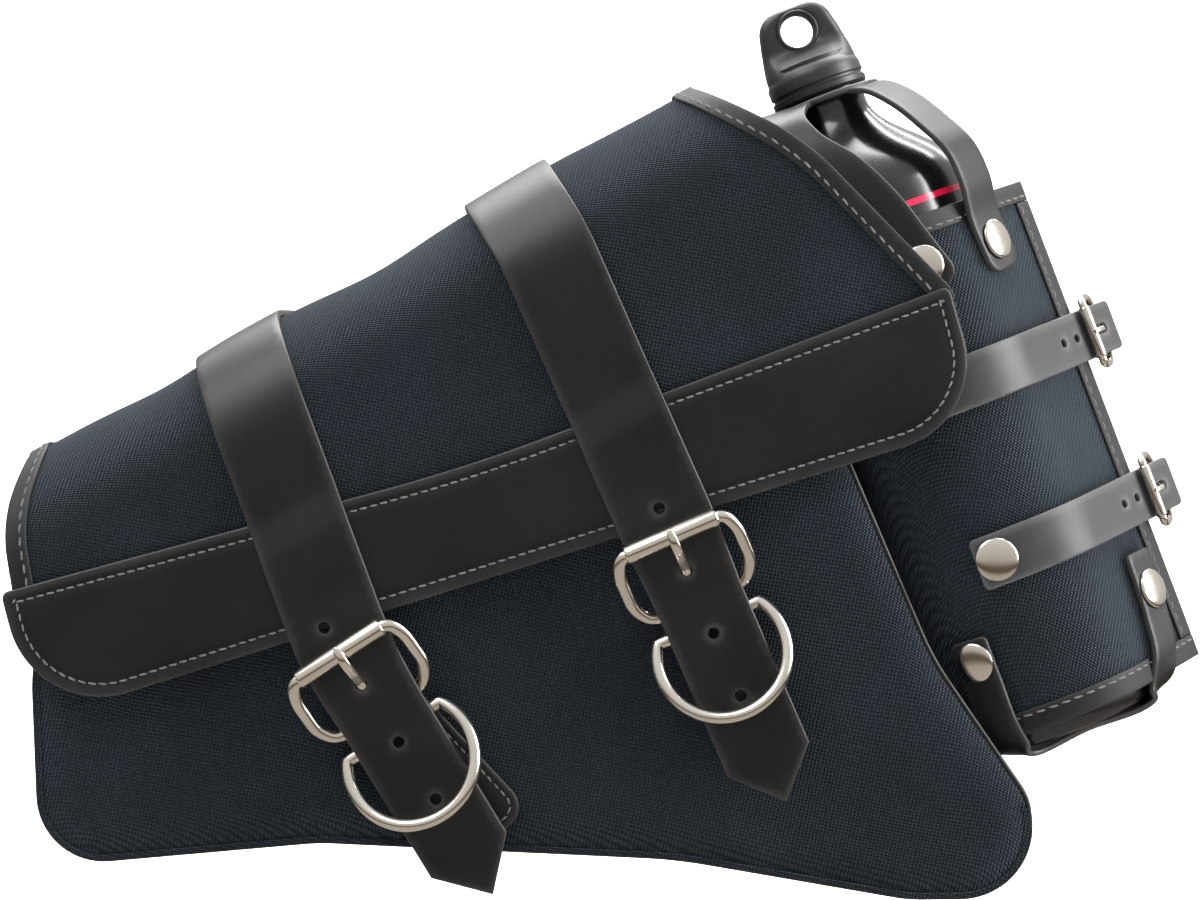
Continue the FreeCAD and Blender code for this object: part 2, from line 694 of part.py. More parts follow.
def make_belt(name, drop):
    """A belt over the holder's front to its own buckle, with rivet, chape, roller and prong."""
    thick, half_width = size("belt_thickness"), size("belt_width") / 2
    middle = size("sleeve_radius") + size("belt_stand_off") + thick / 2
    outward, sideways = facing(side_slope())
    slope = math.radians(90 - side_slope())
    shoulder = middle * (1 - math.sin(slope)) / math.cos(slope)
    end = outward * middle + sideways * 66
    plane = Placement(Vector(0, 0, -drop - half_width), Rotation())
    path = [(-13, -middle, 0), (shoulder, -middle, middle), (end.x, end.y, 0)]
    blank = extrusion("belt_blank_" + name, sketch("belt_path_" + name, ribbon(path, thick), plane),
                      "belt_width")
    hinge_along, depth = 60.0, size("belt_buckle_depth")
    inner_face = size("sleeve_radius") + size("belt_stand_off")
    hinge = outward * inner_face + sideways * hinge_along - Z * drop
    local = Placement(hinge, Rotation(Z, -outward, -sideways, "ZXY"))
    holes = [rod("belt_hole_%s_%d" % (name, i), Vector(0, 10, along), Vector(0, -10, along),
                 "belt_hole_radius", local) for i, along in enumerate((24, 34))]
    slot = doc.addObject("Part::Box", "belt_slot_" + name)
    bind(slot, Length="belt_slot_width", Height="belt_slot_height")
    slot.Width = 12
    slot.Placement = local.multiply(Placement(Vector(-size("belt_slot_width") / 2, -6, 0.4),
                                              Rotation()))
    belt = cut("belt_cut_" + name, blank, join("belt_holes_" + name, holes + [slot]))
    place_in_holder("holder_belt_" + name, belt)
    make_belt_buckle(name, bottle_place().multiply(local), depth)
    make_belt_chape(name, drop, hinge, outward)
    base = Vector(-5, -size("sleeve_radius") - size("belt_stand_off") - thick - 0.3, -drop)
    rivet = rod("belt_rivet_disc_" + name, base, base - Y * size("stud_height"),
                "rivet_radius")
    place_in_holder("belt_rivet_" + name, join_one("belt_rivet_solid_" + name, rivet))


def make_belt_buckle(name, place, depth):
    """The small roller buckle on a belt."""
    wire = size("belt_wire_radius")
    hinge_y = wire + 0.9
    roller_y = -size("belt_thickness") - 0.2 - size("belt_roller_radius")
    half = size("belt_roller_length") / 2
    make_frame("belt_buckle_" + name, place, depth, 14.0, "belt_wire_radius", half,
               hinge_y, roller_y, "belt_wire_radius - 0.3")
    make_roller("belt_roller_" + name, place, "belt_roller_radius", "belt_wire_radius - 0.3", half,
                Vector(0, roller_y, depth))
    front = roller_y - size("belt_roller_radius") - 1.2
    path = [(hinge_y - 0.8, 1.0, 0), (-1.4, 6.6, 4), (front, 12.5, 4), (front, 20.0, 0)]
    make_prong("belt_prong_" + name, place, path, 2.8, 1.8, Vector(0, hinge_y, 0),
               "belt_wire_radius + 0.9", "belt_wire_radius + pin_clearance")


def make_belt_chape(name, drop, hinge, outward):
    """The leather tab behind the holder's edge that carries a small buckle's hinge bar."""
    node = "belt_chape_" + name
    wire = size("belt_wire_radius")
    bar = hinge - outward * (wire + 0.9)
    gap = size("sleeve_radius") + size("binding_thickness") + 1.3
    back_out, back_along = facing(180 - side_slope())
    start = back_out * gap + back_along * -12
    turn = back_out * gap + back_along * -27
    plane = Placement(Vector(0, 0, -drop - 9), Rotation())
    path = [(start.x, start.y, 0), (turn.x, turn.y, 6), (bar.x, bar.y, 0)]
    tab = extrusion(node + "_tab", sketch(node + "_path", ribbon(path, 1.8), plane), 18.0)
    low, high = Vector(bar.x, bar.y, -drop - 9), Vector(bar.x, bar.y, -drop + 9)
    loop = rod(node + "_loop", low, high, "belt_wire_radius + 0.8")
    bore = rod(node + "_bore", low - Z * 5, high + Z * 5, "belt_wire_radius + pin_clearance")
    notch = doc.addObject("Part::Box", node + "_notch")
    notch.Length, notch.Width, notch.Height = 12, 12, 4.0
    notch.Placement = Placement(Vector(bar.x - 4.5, bar.y - 6, -drop - 2.0), Rotation())
    tools = join(node + "_tools", [bore, notch])
    place_in_holder(node, cut(node + "_cut", join(node + "_solid", [tab, loop]), tools))


def strap_arm(name, turn, side_path, face_path, thickness, width):
    """A bent strip: its side shape in (out, down) and its face outline in (sideways, down)."""
    outward, sideways = facing(turn)
    side_plane = Placement(Vector(), Rotation(outward, Z, outward.cross(Z), "ZXY"))
    face_plane = Placement(Vector(), Rotation(sideways, Z, sideways.cross(Z), "ZXY"))
    side = [(out, -down, radius) for out, down, radius in side_path]
    face = [(across, -down, radius) for across, down, radius in face_path]
    side_solid = extrusion(name + "_side", sketch(name + "_side_line", ribbon(side, thickness),
                                                  side_plane), 120.0, True)
    face_solid = extrusion(name + "_face", sketch(name + "_face_line", ribbon(face, width, 0, 6),
                                                  face_plane), 90.0)
    return common(name, side_solid, face_solid)


NECK_ARMS = {
    "front": {"turn": 0.0, "side": [(12, 2.5, 0), (30, 4, 22), (48.7, 46, 60), (48.7, 94, 0)],
              "face": [(-15, -8, 0), (-22, 18, 30), (12, 90, 0)], "stud": (8.5, 79.0)},
    "right": {"side": [(12, 2.5, 0), (26, 4, 15), (55.5, 42, 25), (48.7, 65, 25), (48.7, 96, 0)],
              "face": [(0, -6, 0), (2, 30, 80), (7.5, 90, 0)], "stud": (6.3, 79.0)},
}
FOOT_ARMS = {
    "front": {"turn": -32.0, "side": [(48.7, 219, 0), (48.7, 273.6, 0)],
              "face": [(0, 275, 0), (0, 221, 0)], "stud": (0.0, 230.0)},
    "right": {"side": [(48.7, 214, 0), (48.7, 273.6, 0)],
              "face": [(22, 275, 0), (22, 215, 0)], "stud": (22.0, 230.0)},
}
ARM_THICKNESS = 2.6


def arm_turn(arm):
    """Angle round the bottle that an arm faces: its own, or that of the holder's front face."""
    return arm.get("turn", side_slope())


def make_studs(node, arms):
    """Domed snap studs on the outside of a strap's arms."""
    studs = []
    for key, arm in arms.items():
        outward, sideways = facing(arm_turn(arm))
        across, down = arm["stud"]
        out = arm["side"][-1][0] + ARM_THICKNESS / 2 + 0.1
        base = outward * out + sideways * across - Z * down
        studs.append(rod("%s_%s" % (node, key), base, base + outward * size("stud_height"),
                         "stud_radius"))
    place_in_holder(node, compound(node + "_group", studs))


def make_neck_strap():
    """A strap with a hole round the bottle's neck and two arms that snap to the holder."""
    collar = rod("collar_disc", Vector(0, 0, -4.1), Vector(0, 0, -1.3), "neck_radius + 7")
    hole = rod("collar_hole", Vector(0, 0, -80), Vector(0, 0, 5), "neck_radius + 0.4")
    pieces = [strap_arm("neck_arm_" + key, arm_turn(arm), arm["side"], arm["face"], ARM_THICKNESS,
                        20.0) for key, arm in NECK_ARMS.items()]
    solid = join("neck_strap_solid", [collar] + pieces)
    place_in_holder("neck_strap", cut("neck_strap_cut", solid, hole))
    make_studs("neck_strap_studs", NECK_ARMS)


def make_bottom_strap():
    """A strap under the bottle with an arm up each side of the holder."""
    pieces, feet = [], []
    for key, arm in FOOT_ARMS.items():
        pieces.append(strap_arm("foot_arm_" + key, arm_turn(arm), arm["side"], arm["face"],
                                ARM_THICKNESS, 16.0))
        outward, sideways = facing(arm_turn(arm))
        feet.append(outward * arm["side"][-1][0] + sideways * arm["stud"][0])
    plane = Placement(Vector(0, 0, -273.6), Rotation())
    route = [(feet[0].x, feet[0].y, 0), (feet[1].x, feet[1].y, 0)]
    pieces.append(extrusion("foot_bridge", sketch("foot_bridge_line", ribbon(route, 16.0), plane), 2.6))
    place_in_holder("bottom_strap", join("bottom_strap_solid", pieces))
    make_studs("bottom_strap_studs", FOOT_ARMS)


# ---------------------------------------------------------------- build, check and write

def check_and_write():
    """Refuse a failed or broken object, then write every sub-part."""
    os.makedirs("parts", exist_ok=True)
    doc.recompute()
    for item in doc.Objects:
        if {"Invalid", "Error"} & set(item.State):
            raise RuntimeError("%s failed to build" % item.Name)
    for node, item in sorted(parts.items()):
        shape = item.Shape
        if shape.isNull() or not shape.isValid() or not shape.Solids:
            raise RuntimeError("%s has no valid solid" % node)
        shape.exportStep("parts/%s.step" % node)
        box = shape.BoundBox
        print("%-22s %d solids %9.0f mm3  x %.0f..%.0f y %.0f..%.0f z %.0f..%.0f" % (
            node, len(shape.Solids), shape.Volume, box.XMin, box.XMax, box.YMin, box.YMax,
            box.ZMin, box.ZMax))


make_body()
make_eyelets()
make_flap()
for strap_side in STRAPS:
    make_strap(strap_side)
    make_closure_buckle(strap_side)
make_chape("right", size("right_buckle_lean"), size("right_chape_length"))
make_chape("left", size("left_chape_lean"), size("left_chape_length"))
make_bottle()
make_holder()
make_belt("upper", size("upper_belt_drop"))
make_belt("lower", size("lower_belt_drop"))
make_neck_strap()
make_bottom_strap()
check_and_write()
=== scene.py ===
"""Looks of a canvas and leather side bag with a strapped bottle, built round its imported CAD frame.

Outlines and sizes below are in millimetres, in the frame's axes; meshes are made in metres.
"""

import math
from types import SimpleNamespace

import bpy
import numpy as np
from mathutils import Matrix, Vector, geometry


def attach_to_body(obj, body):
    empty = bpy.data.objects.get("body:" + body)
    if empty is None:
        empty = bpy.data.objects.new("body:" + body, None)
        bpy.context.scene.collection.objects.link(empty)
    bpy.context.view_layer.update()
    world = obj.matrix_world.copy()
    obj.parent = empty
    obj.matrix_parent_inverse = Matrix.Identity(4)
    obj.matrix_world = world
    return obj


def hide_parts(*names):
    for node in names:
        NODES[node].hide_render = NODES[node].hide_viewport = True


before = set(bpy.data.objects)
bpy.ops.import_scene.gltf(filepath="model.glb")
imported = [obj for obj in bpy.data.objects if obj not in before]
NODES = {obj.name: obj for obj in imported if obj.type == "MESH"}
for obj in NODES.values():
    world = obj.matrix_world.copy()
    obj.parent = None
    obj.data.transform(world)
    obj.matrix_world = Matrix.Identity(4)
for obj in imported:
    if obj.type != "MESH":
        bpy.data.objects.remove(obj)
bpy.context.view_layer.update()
MM = 0.001

# ---------------------------------------------------------------- sizes of the bag

BAG_FRONT = 97.8
FLAP_MIDDLE = 99.8
RIDGE_LEAN = math.radians(29.0)
RIDGE_START = (-171.0, 52.0)
FRONT_BEND, BACK_BEND = 40.0, 27.0
FLAP_BACK = 1.3
HEM_DROP = 30.6
CANVAS_THICK = 1.8
FLAP_THICK = 2.4
BAND_THICK = 2.5
STRAP_THICK, STRAP_WIDTH, STRAP_FACE = 3.0, 37.0, 105.8

MOUTH_LEFT, MOUTH_RIGHT, WALL_MOUTH = (-181.9, -6.6), (81.8, 139.6), (79, 138.1)
FOOT = [(-189, -45, 60), (-186, -119, 26), (-78, -109.5, 90), (60, -116, 200),
        (150, -131.5, 60), (201, -131, 28)]
FRONT_OUTLINE = ([(*MOUTH_LEFT, 6)] + FOOT
                 + [(197, -92, 20), (160, -38, 100), (128.6, 35.8, 200), (*MOUTH_RIGHT, 6)])
WALL_SIDE = [(197, -93, 6), (172.9, -93, 10), (124.3, 35.8, 100)]
WALL_OUTLINE = [(*MOUTH_LEFT, 3)] + FOOT + WALL_SIDE + [(*WALL_MOUTH, 3)]
BACK_OUTLINE = [(-178.8, 9.9, 4)] + FOOT + WALL_SIDE + [(73.6, 150.0, 4)]
FLAP_FRONT = [(179, 53.5, 34), (-186, -62, 36)]
FLAP_OUTLINE = ([(60, 187, 4), (110, 161, 100), (166, 104, 12)] + FLAP_FRONT
                + [(-199, 14, 60), (-190, 48, 20), (-174, 57, 4)])
BAND_OUTLINE = FLAP_FRONT + [(-199, -12.5, 3), (-20, 36.0, 700), (164.5, 105.4, 3)]
EYELETS = [(-20 + i * 90, -25 + k * 40) for i in (-1, 1) for k in (-1, 1)]

# bottle and holder
NECK = Vector((119.5, -47.0, 184.3))
BOTTLE_LEAN = math.radians(20.7)
SLEEVE_RADIUS, SLEEVE_TIP, SLEEVE_WALL = 46.0, 62.0, 2.2
SLEEVE_TOP, SLEEVE_BOTTOM = 60.0, 263.0
BELT_DROPS = {"upper": 127.0, "lower": 195.0}
BELT_WIDTH, BELT_THICK = 20.5, 2.2
# along the flat side from where it leaves the curve: the buckle bar and the tail
BELT_HINGE, BELT_END = 60.0, 66.0
# from the bottle's axis to the middle of the foot strap where it lies on the holder
STRAP_SEAT = 48.9
STUD_HEIGHT = 2.2

# buckles: hinge place and lean on the front
BUCKLES = {"right": ((68.7, -15.3), 23.5), "left": ((-53.5, -57.8), 33.0)}
STRAP_ROUTES = {
    "right": [(-16, 163, 0), (10, 119.5, 120), (62.5, 0, 300), (102, -92, 0)],
    "left": [(-122, 115, 0), (-66, -36, 150), (-10, -127.5, 0)],
}
HOLE_PITCH, TAIL_POINT = 26.0, 16.0
# in a buckle's own frame x runs along its bars, y back into the bag and z from hinge to roller
CLOSURE_BUCKLE = SimpleNamespace(
    depth=27.0, half=24.5, wire=1.9, bar=1.6, hinge_y=3.4, roller_y=-6.8,
    roller_half=19.0, radius=3.6, bore=1.75, eye_radius=3.1, prong_width=4.2, prong_thick=2.6,
    prong=[(2.2, 1.6, 0), (-1.6, 12.6, 8), (-12.1, 22.5, 7), (-12.1, 30.0, 0)])
BELT_BUCKLE = SimpleNamespace(
    depth=16.0, half=14.0, wire=1.3, bar=1.0, hinge_y=2.2, roller_y=-4.7,
    roller_half=10.8, radius=2.3, bore=1.15, eye_radius=2.2, prong_width=2.4, prong_thick=1.4,
    prong=[(1.4, 1.0, 0), (-1.4, 6.6, 4), (-8.2, 12.5, 4), (-8.2, 18.8, 0)])


# ---------------------------------------------------------------- outlines and flat meshes

def rounded(corners, step=2.0, closed=True):
    """Points along a polygon of (x, y, radius) corners, with an arc at each rounded corner."""
    points = []
    count = len(corners)
    for i, (x, y, radius) in enumerate(corners):
        here = np.array([x, y], float)
        if not radius or (not closed and i in (0, count - 1)):
            points.append(here)
            continue
        before = np.array(corners[i - 1][:2], float) - here
        after = np.array(corners[(i + 1) % count][:2], float) - here
        before, after = unit(before), unit(after)
        half = math.acos(max(-1.0, min(1.0, float(before @ after)))) / 2
        if half > math.radians(89.5):
            points.append(here)
            continue
        start, end = here + before * radius / math.tan(half), here + after * radius / math.tan(half)
        centre = here + (before + after) / np.linalg.norm(before + after) * radius / math.sin(half)
        turn = math.pi - 2 * half
        steps = max(2, int(math.ceil(radius * turn / step)))
        for k in range(steps + 1):
            share = k / steps
            arm = (start - centre) * math.sin((1 - share) * turn) + (end - centre) * math.sin(share * turn)
            points.append(centre + arm / math.sin(turn))
    return resampled(np.array(points), step, closed)


def resampled(points, step, closed):
    """The same line with no edge longer than step."""
    made = []
    count = len(points)
    for i in range(count if closed else count - 1):
        a, b = points[i], points[(i + 1) % count]
        gap = np.linalg.norm(b - a)
        if gap < 1e-6:
            continue
        pieces = max(1, int(math.ceil(gap / step)))
        made += [a + (b - a) * k / pieces for k in range(pieces)]
    if not closed:
        made.append(points[-1])
    return np.array(made)


def unit(vectors):
    """A vector, or each row of vectors, scaled to length one."""
    return vectors / np.maximum(np.linalg.norm(vectors, axis=-1, keepdims=True), 1e-12)


def reach_along(line):
    """How far along an open line each of its points lies."""
    return np.r_[0, np.cumsum(np.linalg.norm(np.diff(line, axis=0), axis=1))]


def followed(line, reach, at):
    """Places on a line at some distances along it."""
    return np.stack([np.interp(at, reach, column) for column in line.T], 1)


def circle(radius, count, centre=(0, 0)):
    """Points of a round line."""
    turns = np.arange(count) / count * 2 * math.pi
    return np.stack([np.cos(turns), np.sin(turns)], 1) * radius + centre


def rectangle(left, right, low, high, radii, step):
    """A rectangle with rounded corners, whose radii run anticlockwise from the lower left."""
    return rounded(list(zip((left, right, right, left), (low, low, high, high), radii)), step)


def lifted(flat, depth):
    """Flat (x, z) places as places in space at a depth along Y."""
    return np.stack([flat[:, 0], np.broadcast_to(depth, len(flat)), flat[:, 1]], 1)


def left_of(points, closed=True):
    """Unit normals to the left of a line at each of its points."""
    ahead = np.roll(points, -1, 0) - points
    behind = points - np.roll(points, 1, 0)
    if not closed:
        ahead[-1] = behind[-1]
        behind[0] = ahead[0]
    along = unit(unit(ahead) + unit(behind))
    return np.stack([-along[:, 1], along[:, 0]], 1)


def signed_area(points):
    """Area inside a closed line; positive if it runs anticlockwise."""
    after = np.roll(points, -1, 0)
    return float(np.sum(points[:, 0] * after[:, 1] - after[:, 0] * points[:, 1]) / 2)


def anticlockwise(points):
    """The same closed line, running anticlockwise."""
    return points if signed_area(points) > 0 else points[::-1]


def inside(points, loop):
    """Which points lie inside a closed line."""
    found = np.zeros(len(points), bool)
    x, y = points[:, 0], points[:, 1]
    for a, b in zip(loop, np.roll(loop, -1, 0)):
        if a[1] == b[1]:
            continue
        crosses = (a[1] > y) != (b[1] > y)
        found ^= crosses & (x < (b[0] - a[0]) * (y - a[1]) / (b[1] - a[1]) + a[0])
    return found


def distance(points, loop, closed=True):
    """Distance of each point from a line."""
    best = np.full(len(points), 1e9)
    ends = np.roll(loop, -1, 0) if closed else loop[1:]
    for a, b in zip(loop, ends):
        edge = b - a
        share = np.clip(((points - a) @ edge) / max(edge @ edge, 1e-12), 0, 1)
        best = np.minimum(best, np.linalg.norm(points - a - share[:, None] * edge, axis=1))
    return best


def filled(loop, holes, step, rims):
    """Points, triangles and edge distance of the area inside a line and outside its holes."""
    lines = [loop] + list(holes)
    points, edges = [], []
    for index, line in enumerate(lines):
        normals = left_of(line) * (1 if index == 0 else -1)
        for rim in rims if index == 0 else rims[:2]:
            start = len(points)
            points += list(line + normals * rim)
            edges += [(start + i, start + (i + 1) % len(line)) for i in range(len(line))]
    low, high = loop.min(0), loop.max(0)
    rows = int((high[1] - low[1]) / (step * 0.866)) + 1
    grid = []
    for row in range(rows):
        xs = np.arange(low[0] + (row % 2) * step / 2, high[0], step)
        grid.append(np.stack([xs, np.full(len(xs), low[1] + row * step * 0.866)], 1))
    grid = np.concatenate(grid)
    clear = inside(grid, loop) & (distance(grid, loop) > rims[-1] + step * 0.45)
    for hole in holes:
        clear &= ~inside(grid, hole) & (distance(grid, hole) > rims[1] + step * 0.3)
    points += list(grid[clear])
    made = geometry.delaunay_2d_cdt([Vector(p) for p in points], edges, [], 0, 1e-5, False)
    flat = np.array([tuple(p) for p in made[0]])
    faces = np.array([f for f in made[2] if len(f) == 3])
    middle = flat[faces].mean(1)
    keep = inside(middle, loop)
    for hole in holes:
        keep &= ~inside(middle, hole)
    faces = faces[keep]
    corner = flat[faces]
    size = np.cross(corner[:, 1] - corner[:, 0], corner[:, 2] - corner[:, 0])
    faces = faces[np.abs(size) > 1e-7]
    size = size[np.abs(size) > 1e-7]
    faces[size < 0] = faces[size < 0][:, ::-1]
    used, back = np.unique(faces, return_inverse=True)
    flat, faces = flat[used], back.reshape(faces.shape)
    edge_gap = np.min([distance(flat, line) for line in lines], axis=0)
    return flat, faces, edge_gap


# ---------------------------------------------------------------- meshes

def new_object(name, points, faces, materials, indices=None, sharp=50.0):
    """A smooth-shaded mesh object from points in millimetres."""
    mesh = bpy.data.meshes.new(name)
    mesh.from_pydata([tuple(p) for p in np.asarray(points) * MM], [], [tuple(map(int, f)) for f in faces])
    for material in materials:
        mesh.materials.append(material)
    if indices is not None:
        mesh.polygons.foreach_set("material_index", np.asarray(indices, np.int32))
    mesh.polygons.foreach_set("use_smooth", np.ones(len(mesh.polygons), bool))
    mesh.set_sharp_from_angle(angle=math.radians(sharp))
    mesh.validate()
    obj = bpy.data.objects.new(name, mesh)
    bpy.context.scene.collection.objects.link(obj)
    return obj


def attach(obj, body, slot, *nodes):
    """Say which body a piece rides on and which nodes it stands for; the slot argument is not used."""
    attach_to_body(obj, body)
    if nodes:
        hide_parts(*nodes)
    return obj


def shell_faces(faces, count):
    """Faces of one side, the same turned over for the side count points on, and the rim between."""
    edges = dict.fromkeys((int(a), int(b)) for face in faces for a, b in zip(face, np.roll(face, -1)))
    rim = [(b, a, a + count, b + count) for a, b in edges if (b, a) not in edges]
    return [tuple(face) for face in faces], [tuple(face[::-1]) for face in faces + count], rim


def grid_faces(rows, count):
    """Four-cornered faces of rows of points."""
    first = (np.arange(rows - 1)[:, None] * count + np.arange(count - 1)).ravel()
    return np.stack([first, first + 1, first + count + 1, first + count], 1)


def tube_faces(start, rings, sides, closed=False):
    """Faces of a tube of rings of points numbered from start, with flat ends if it is open."""
    faces = []
    for ring in range(rings if closed else rings - 1):
        low, high = start + ring * sides, start + (ring + 1) % rings * sides
        for k in range(sides):
            after = (k + 1) % sides
            faces.append((low + k, low + after, high + after, high + k))
    if not closed:
        last = start + (rings - 1) * sides
        faces += [tuple(range(start, start + sides))[::-1], tuple(range(last, last + sides))]
    return faces


def frame_of(surface, flat):
    """Points and unit normals of a surface at flat places."""
    nudge = 0.05
    across = surface(flat + [nudge, 0]) - surface(flat - [nudge, 0])
    up = surface(flat + [0, nudge]) - surface(flat - [0, nudge])
    return surface(flat), unit(np.cross(across, up))


GROOVE_REACH, GROOVE_DEPTH = 1.1, 0.35


def sheet_piece(name, loop, thickness, surface, materials, holes=(), step=3.0, lift=0.0,
                edge=0.8, grooves=(), relief=None, swell=None):
    """A sheet of some thickness laid on a surface, with rounded edges and stitched-in grooves.

    Its edge attribute says how close each vertex is to a cut edge, for the material to read; leather is
    drawn lighter there, partly as wear and partly as a painted highlight.
    """
    bevel = min(edge, thickness * 0.45)
    rims = [0.0, bevel * 0.35, bevel]
    for groove in grooves:
        rims += [groove - GROOVE_REACH, groove, groove + GROOVE_REACH]
    flat, faces, gap = filled(anticlockwise(loop), [anticlockwise(h) for h in holes], step, rims)
    inwards = bevel - np.clip(gap, 0, bevel)
    half = thickness / 2 - bevel + np.sqrt(np.maximum(bevel ** 2 - inwards ** 2, 0))
    if swell is not None:
        half = half + swell(flat)
    dent = sum(GROOVE_DEPTH * np.exp(-((gap - groove) / 0.7) ** 2) for groove in grooves)
    middle = lift if relief is None else lift + relief(flat)
    at, normal = frame_of(surface, flat)
    upper = at + normal * (middle + half - dent)[:, None]
    lower = at + normal * (middle - half)[:, None]
    above, below, rim = shell_faces(faces, len(flat))
    kinds = [0] * len(above) + [min(1, len(materials) - 1)] * len(below) + [0] * len(rim)
    obj = new_object(name, np.concatenate([upper, lower]), above + below + rim, materials, kinds)
    # closeness to a cut edge, which the leather materials turn into lighter edges: partly wear, partly a
    # painted highlight
    layer = obj.data.attributes.new("edge_wear_and_highlight", "FLOAT", "POINT")
    layer.data.foreach_set("value", np.tile(np.exp(-gap), 2).astype(np.float32))
    return obj


def swept(name, path, profile, materials, closed=False, scale=1.0, up_hint=(0, -1, 0)):
    """A closed tube of any section along a line of points."""
    along = np.roll(path, -1, 0) - np.roll(path, 1, 0)
    if not closed:
        along[0], along[-1] = path[1] - path[0], path[-1] - path[-2]
    along = unit(along)
    side = unit(np.cross(along, up_hint))
    up = np.cross(side, along)
    spread = profile[:, :1] * side[:, None] + profile[:, 1:] * up[:, None]
    rings = path[:, None] + spread * np.broadcast_to(scale, len(path))[:, None, None]
    faces = tube_faces(0, len(path), len(profile), closed)
    return new_object(name, rings.reshape(-1, 3), faces, materials, sharp=45.0)


def turned(name, outline, origin, axis, materials, sides=72, sharp=40.0):
    """A solid of revolution from (radius, height) points about an axis."""
    axis = unit(np.asarray(axis, float))
    across = unit(np.cross(axis, [0, 1, 0] if abs(axis[1]) < 0.9 else [1, 0, 0]))
    plane = np.array([across, np.cross(axis, across)])
    points, rings, faces = [], [], []
    for radius, height in outline:
        count = sides if radius > 1e-6 else 1
        rings.append(range(len(points), len(points) + count))
        points += list(np.asarray(origin) + axis * height + circle(radius, count) @ plane)
    for low, high in zip(rings, rings[1:]):
        for k in range(sides):
            spots = ((low, k), (high, k), (high, k + 1), (low, k + 1))
            corners = [ring[at % len(ring)] for ring, at in spots]
            face = tuple(dict.fromkeys(corners))
            if len(face) > 2:
                faces.append(face)
    return new_object(name, np.array(points), faces, materials, sharp=sharp)


# ---------------------------------------------------------------- materials

def fill_ramp(node, stops):
    """Set a colour ramp from (place, colour) stops."""
    elements = node.color_ramp.elements
    while len(elements) < len(stops):
        elements.new(0.5)
    for element, (spot, colour) in zip(elements, stops):
        element.position = spot
        element.color = (*colour, 1.0)


class Nodes:
    """Short calls for building a node material."""

    def __init__(self, name):
        self.material = bpy.data.materials.new(name)
        self.material.use_nodes = True
        self.tree = self.material.node_tree
        self.shader = self.tree.nodes["Principled BSDF"]
        self.place = self.tree.nodes.new("ShaderNodeTexCoord").outputs["Object"]

    def set(self, **values):
        """Give the shader's inputs numbers or colours, or link outputs to them."""
        for key, value in values.items():
            self.put(value, self.shader.inputs[key.replace("_", " ")])

    def put(self, value, socket):
        if isinstance(value, (int, float, tuple)):
            socket.default_value = value
        else:
            self.tree.links.new(value, socket)

    def math(self, kind, first, second=0.5):
        node = self.tree.nodes.new("ShaderNodeMath")
        node.operation = kind
        self.put(first, node.inputs[0])
        self.put(second, node.inputs[1])
        return node.outputs[0]

    def scaled(self, value, gain, offset):
        """A value times a gain, plus a number or another value."""
        return self.math("ADD", self.math("MULTIPLY", value, gain), offset)

    def blend(self, first, gain, second, other_gain):
        """The sum of two values, each times its gain."""
        return self.scaled(first, gain, self.math("MULTIPLY", second, other_gain))

    def noise(self, scale, detail=3.0, rough=0.55):
        node = self.tree.nodes.new("ShaderNodeTexNoise")
        for key, value in (("Scale", scale), ("Detail", detail), ("Roughness", rough),
                           ("Vector", self.place)):
            self.put(value, node.inputs[key])
        return node.outputs["Fac"]

    def ramp(self, value, stops):
        node = self.tree.nodes.new("ShaderNodeValToRGB")
        fill_ramp(node, stops)
        self.put(value, node.inputs["Fac"])
        return node.outputs["Color"]

    def along(self, direction, pitch):
        """A sine along a direction of the frame with a pitch in metres, from -1 to 1."""
        node = self.tree.nodes.new("ShaderNodeVectorMath")
        node.operation = "DOT_PRODUCT"
        self.put(tuple(d * 2 * math.pi / pitch for d in direction), node.inputs[1])
        self.put(self.place, node.inputs[0])
        return self.math("SINE", node.outputs["Value"], 0.0)

    # the cut-edge mask: lighter edges, partly wear and partly a painted highlight
    def edge_wear_and_highlight(self):
        node = self.tree.nodes.new("ShaderNodeAttribute")
        node.attribute_name = "edge_wear_and_highlight"
        return node.outputs["Fac"]

    def bump(self, height, strength, depth):
        node = self.tree.nodes.new("ShaderNodeBump")
        for key, value in (("Strength", strength), ("Distance", depth), ("Height", height)):
            self.put(value, node.inputs[key])
        self.set(Normal=node.outputs["Normal"])


WEAVE_PITCH = 0.0023


def canvas_material():
    """Coarse canvas: crossed threads seen on any face, slubs and a faint bloom."""
    made = Nodes("canvas")
    threads = made.math("MULTIPLY", made.along((1.0, 1.15, 0.62), WEAVE_PITCH),
                        made.along((0.62, -1.2, -1.0), WEAVE_PITCH))
    height = made.blend(threads, 0.8, made.noise(900.0, 2.0), 0.8)
    shade = made.blend(height, 0.38, made.noise(14.0, 3.0), 0.45)
    colour = made.ramp(shade, [(0.12, (0.0020, 0.0036, 0.0055)), (0.42, (0.0058, 0.0095, 0.0140)),
                               (0.80, (0.022, 0.033, 0.045))])
    made.set(Base_Color=colour, Roughness=0.95, Sheen_Weight=0.30, Sheen_Roughness=0.35,
             Sheen_Tint=(0.55, 0.68, 0.80, 1.0), Specular_IOR_Level=0.25)
    made.bump(height, 0.9, 0.0006)
    return made.material


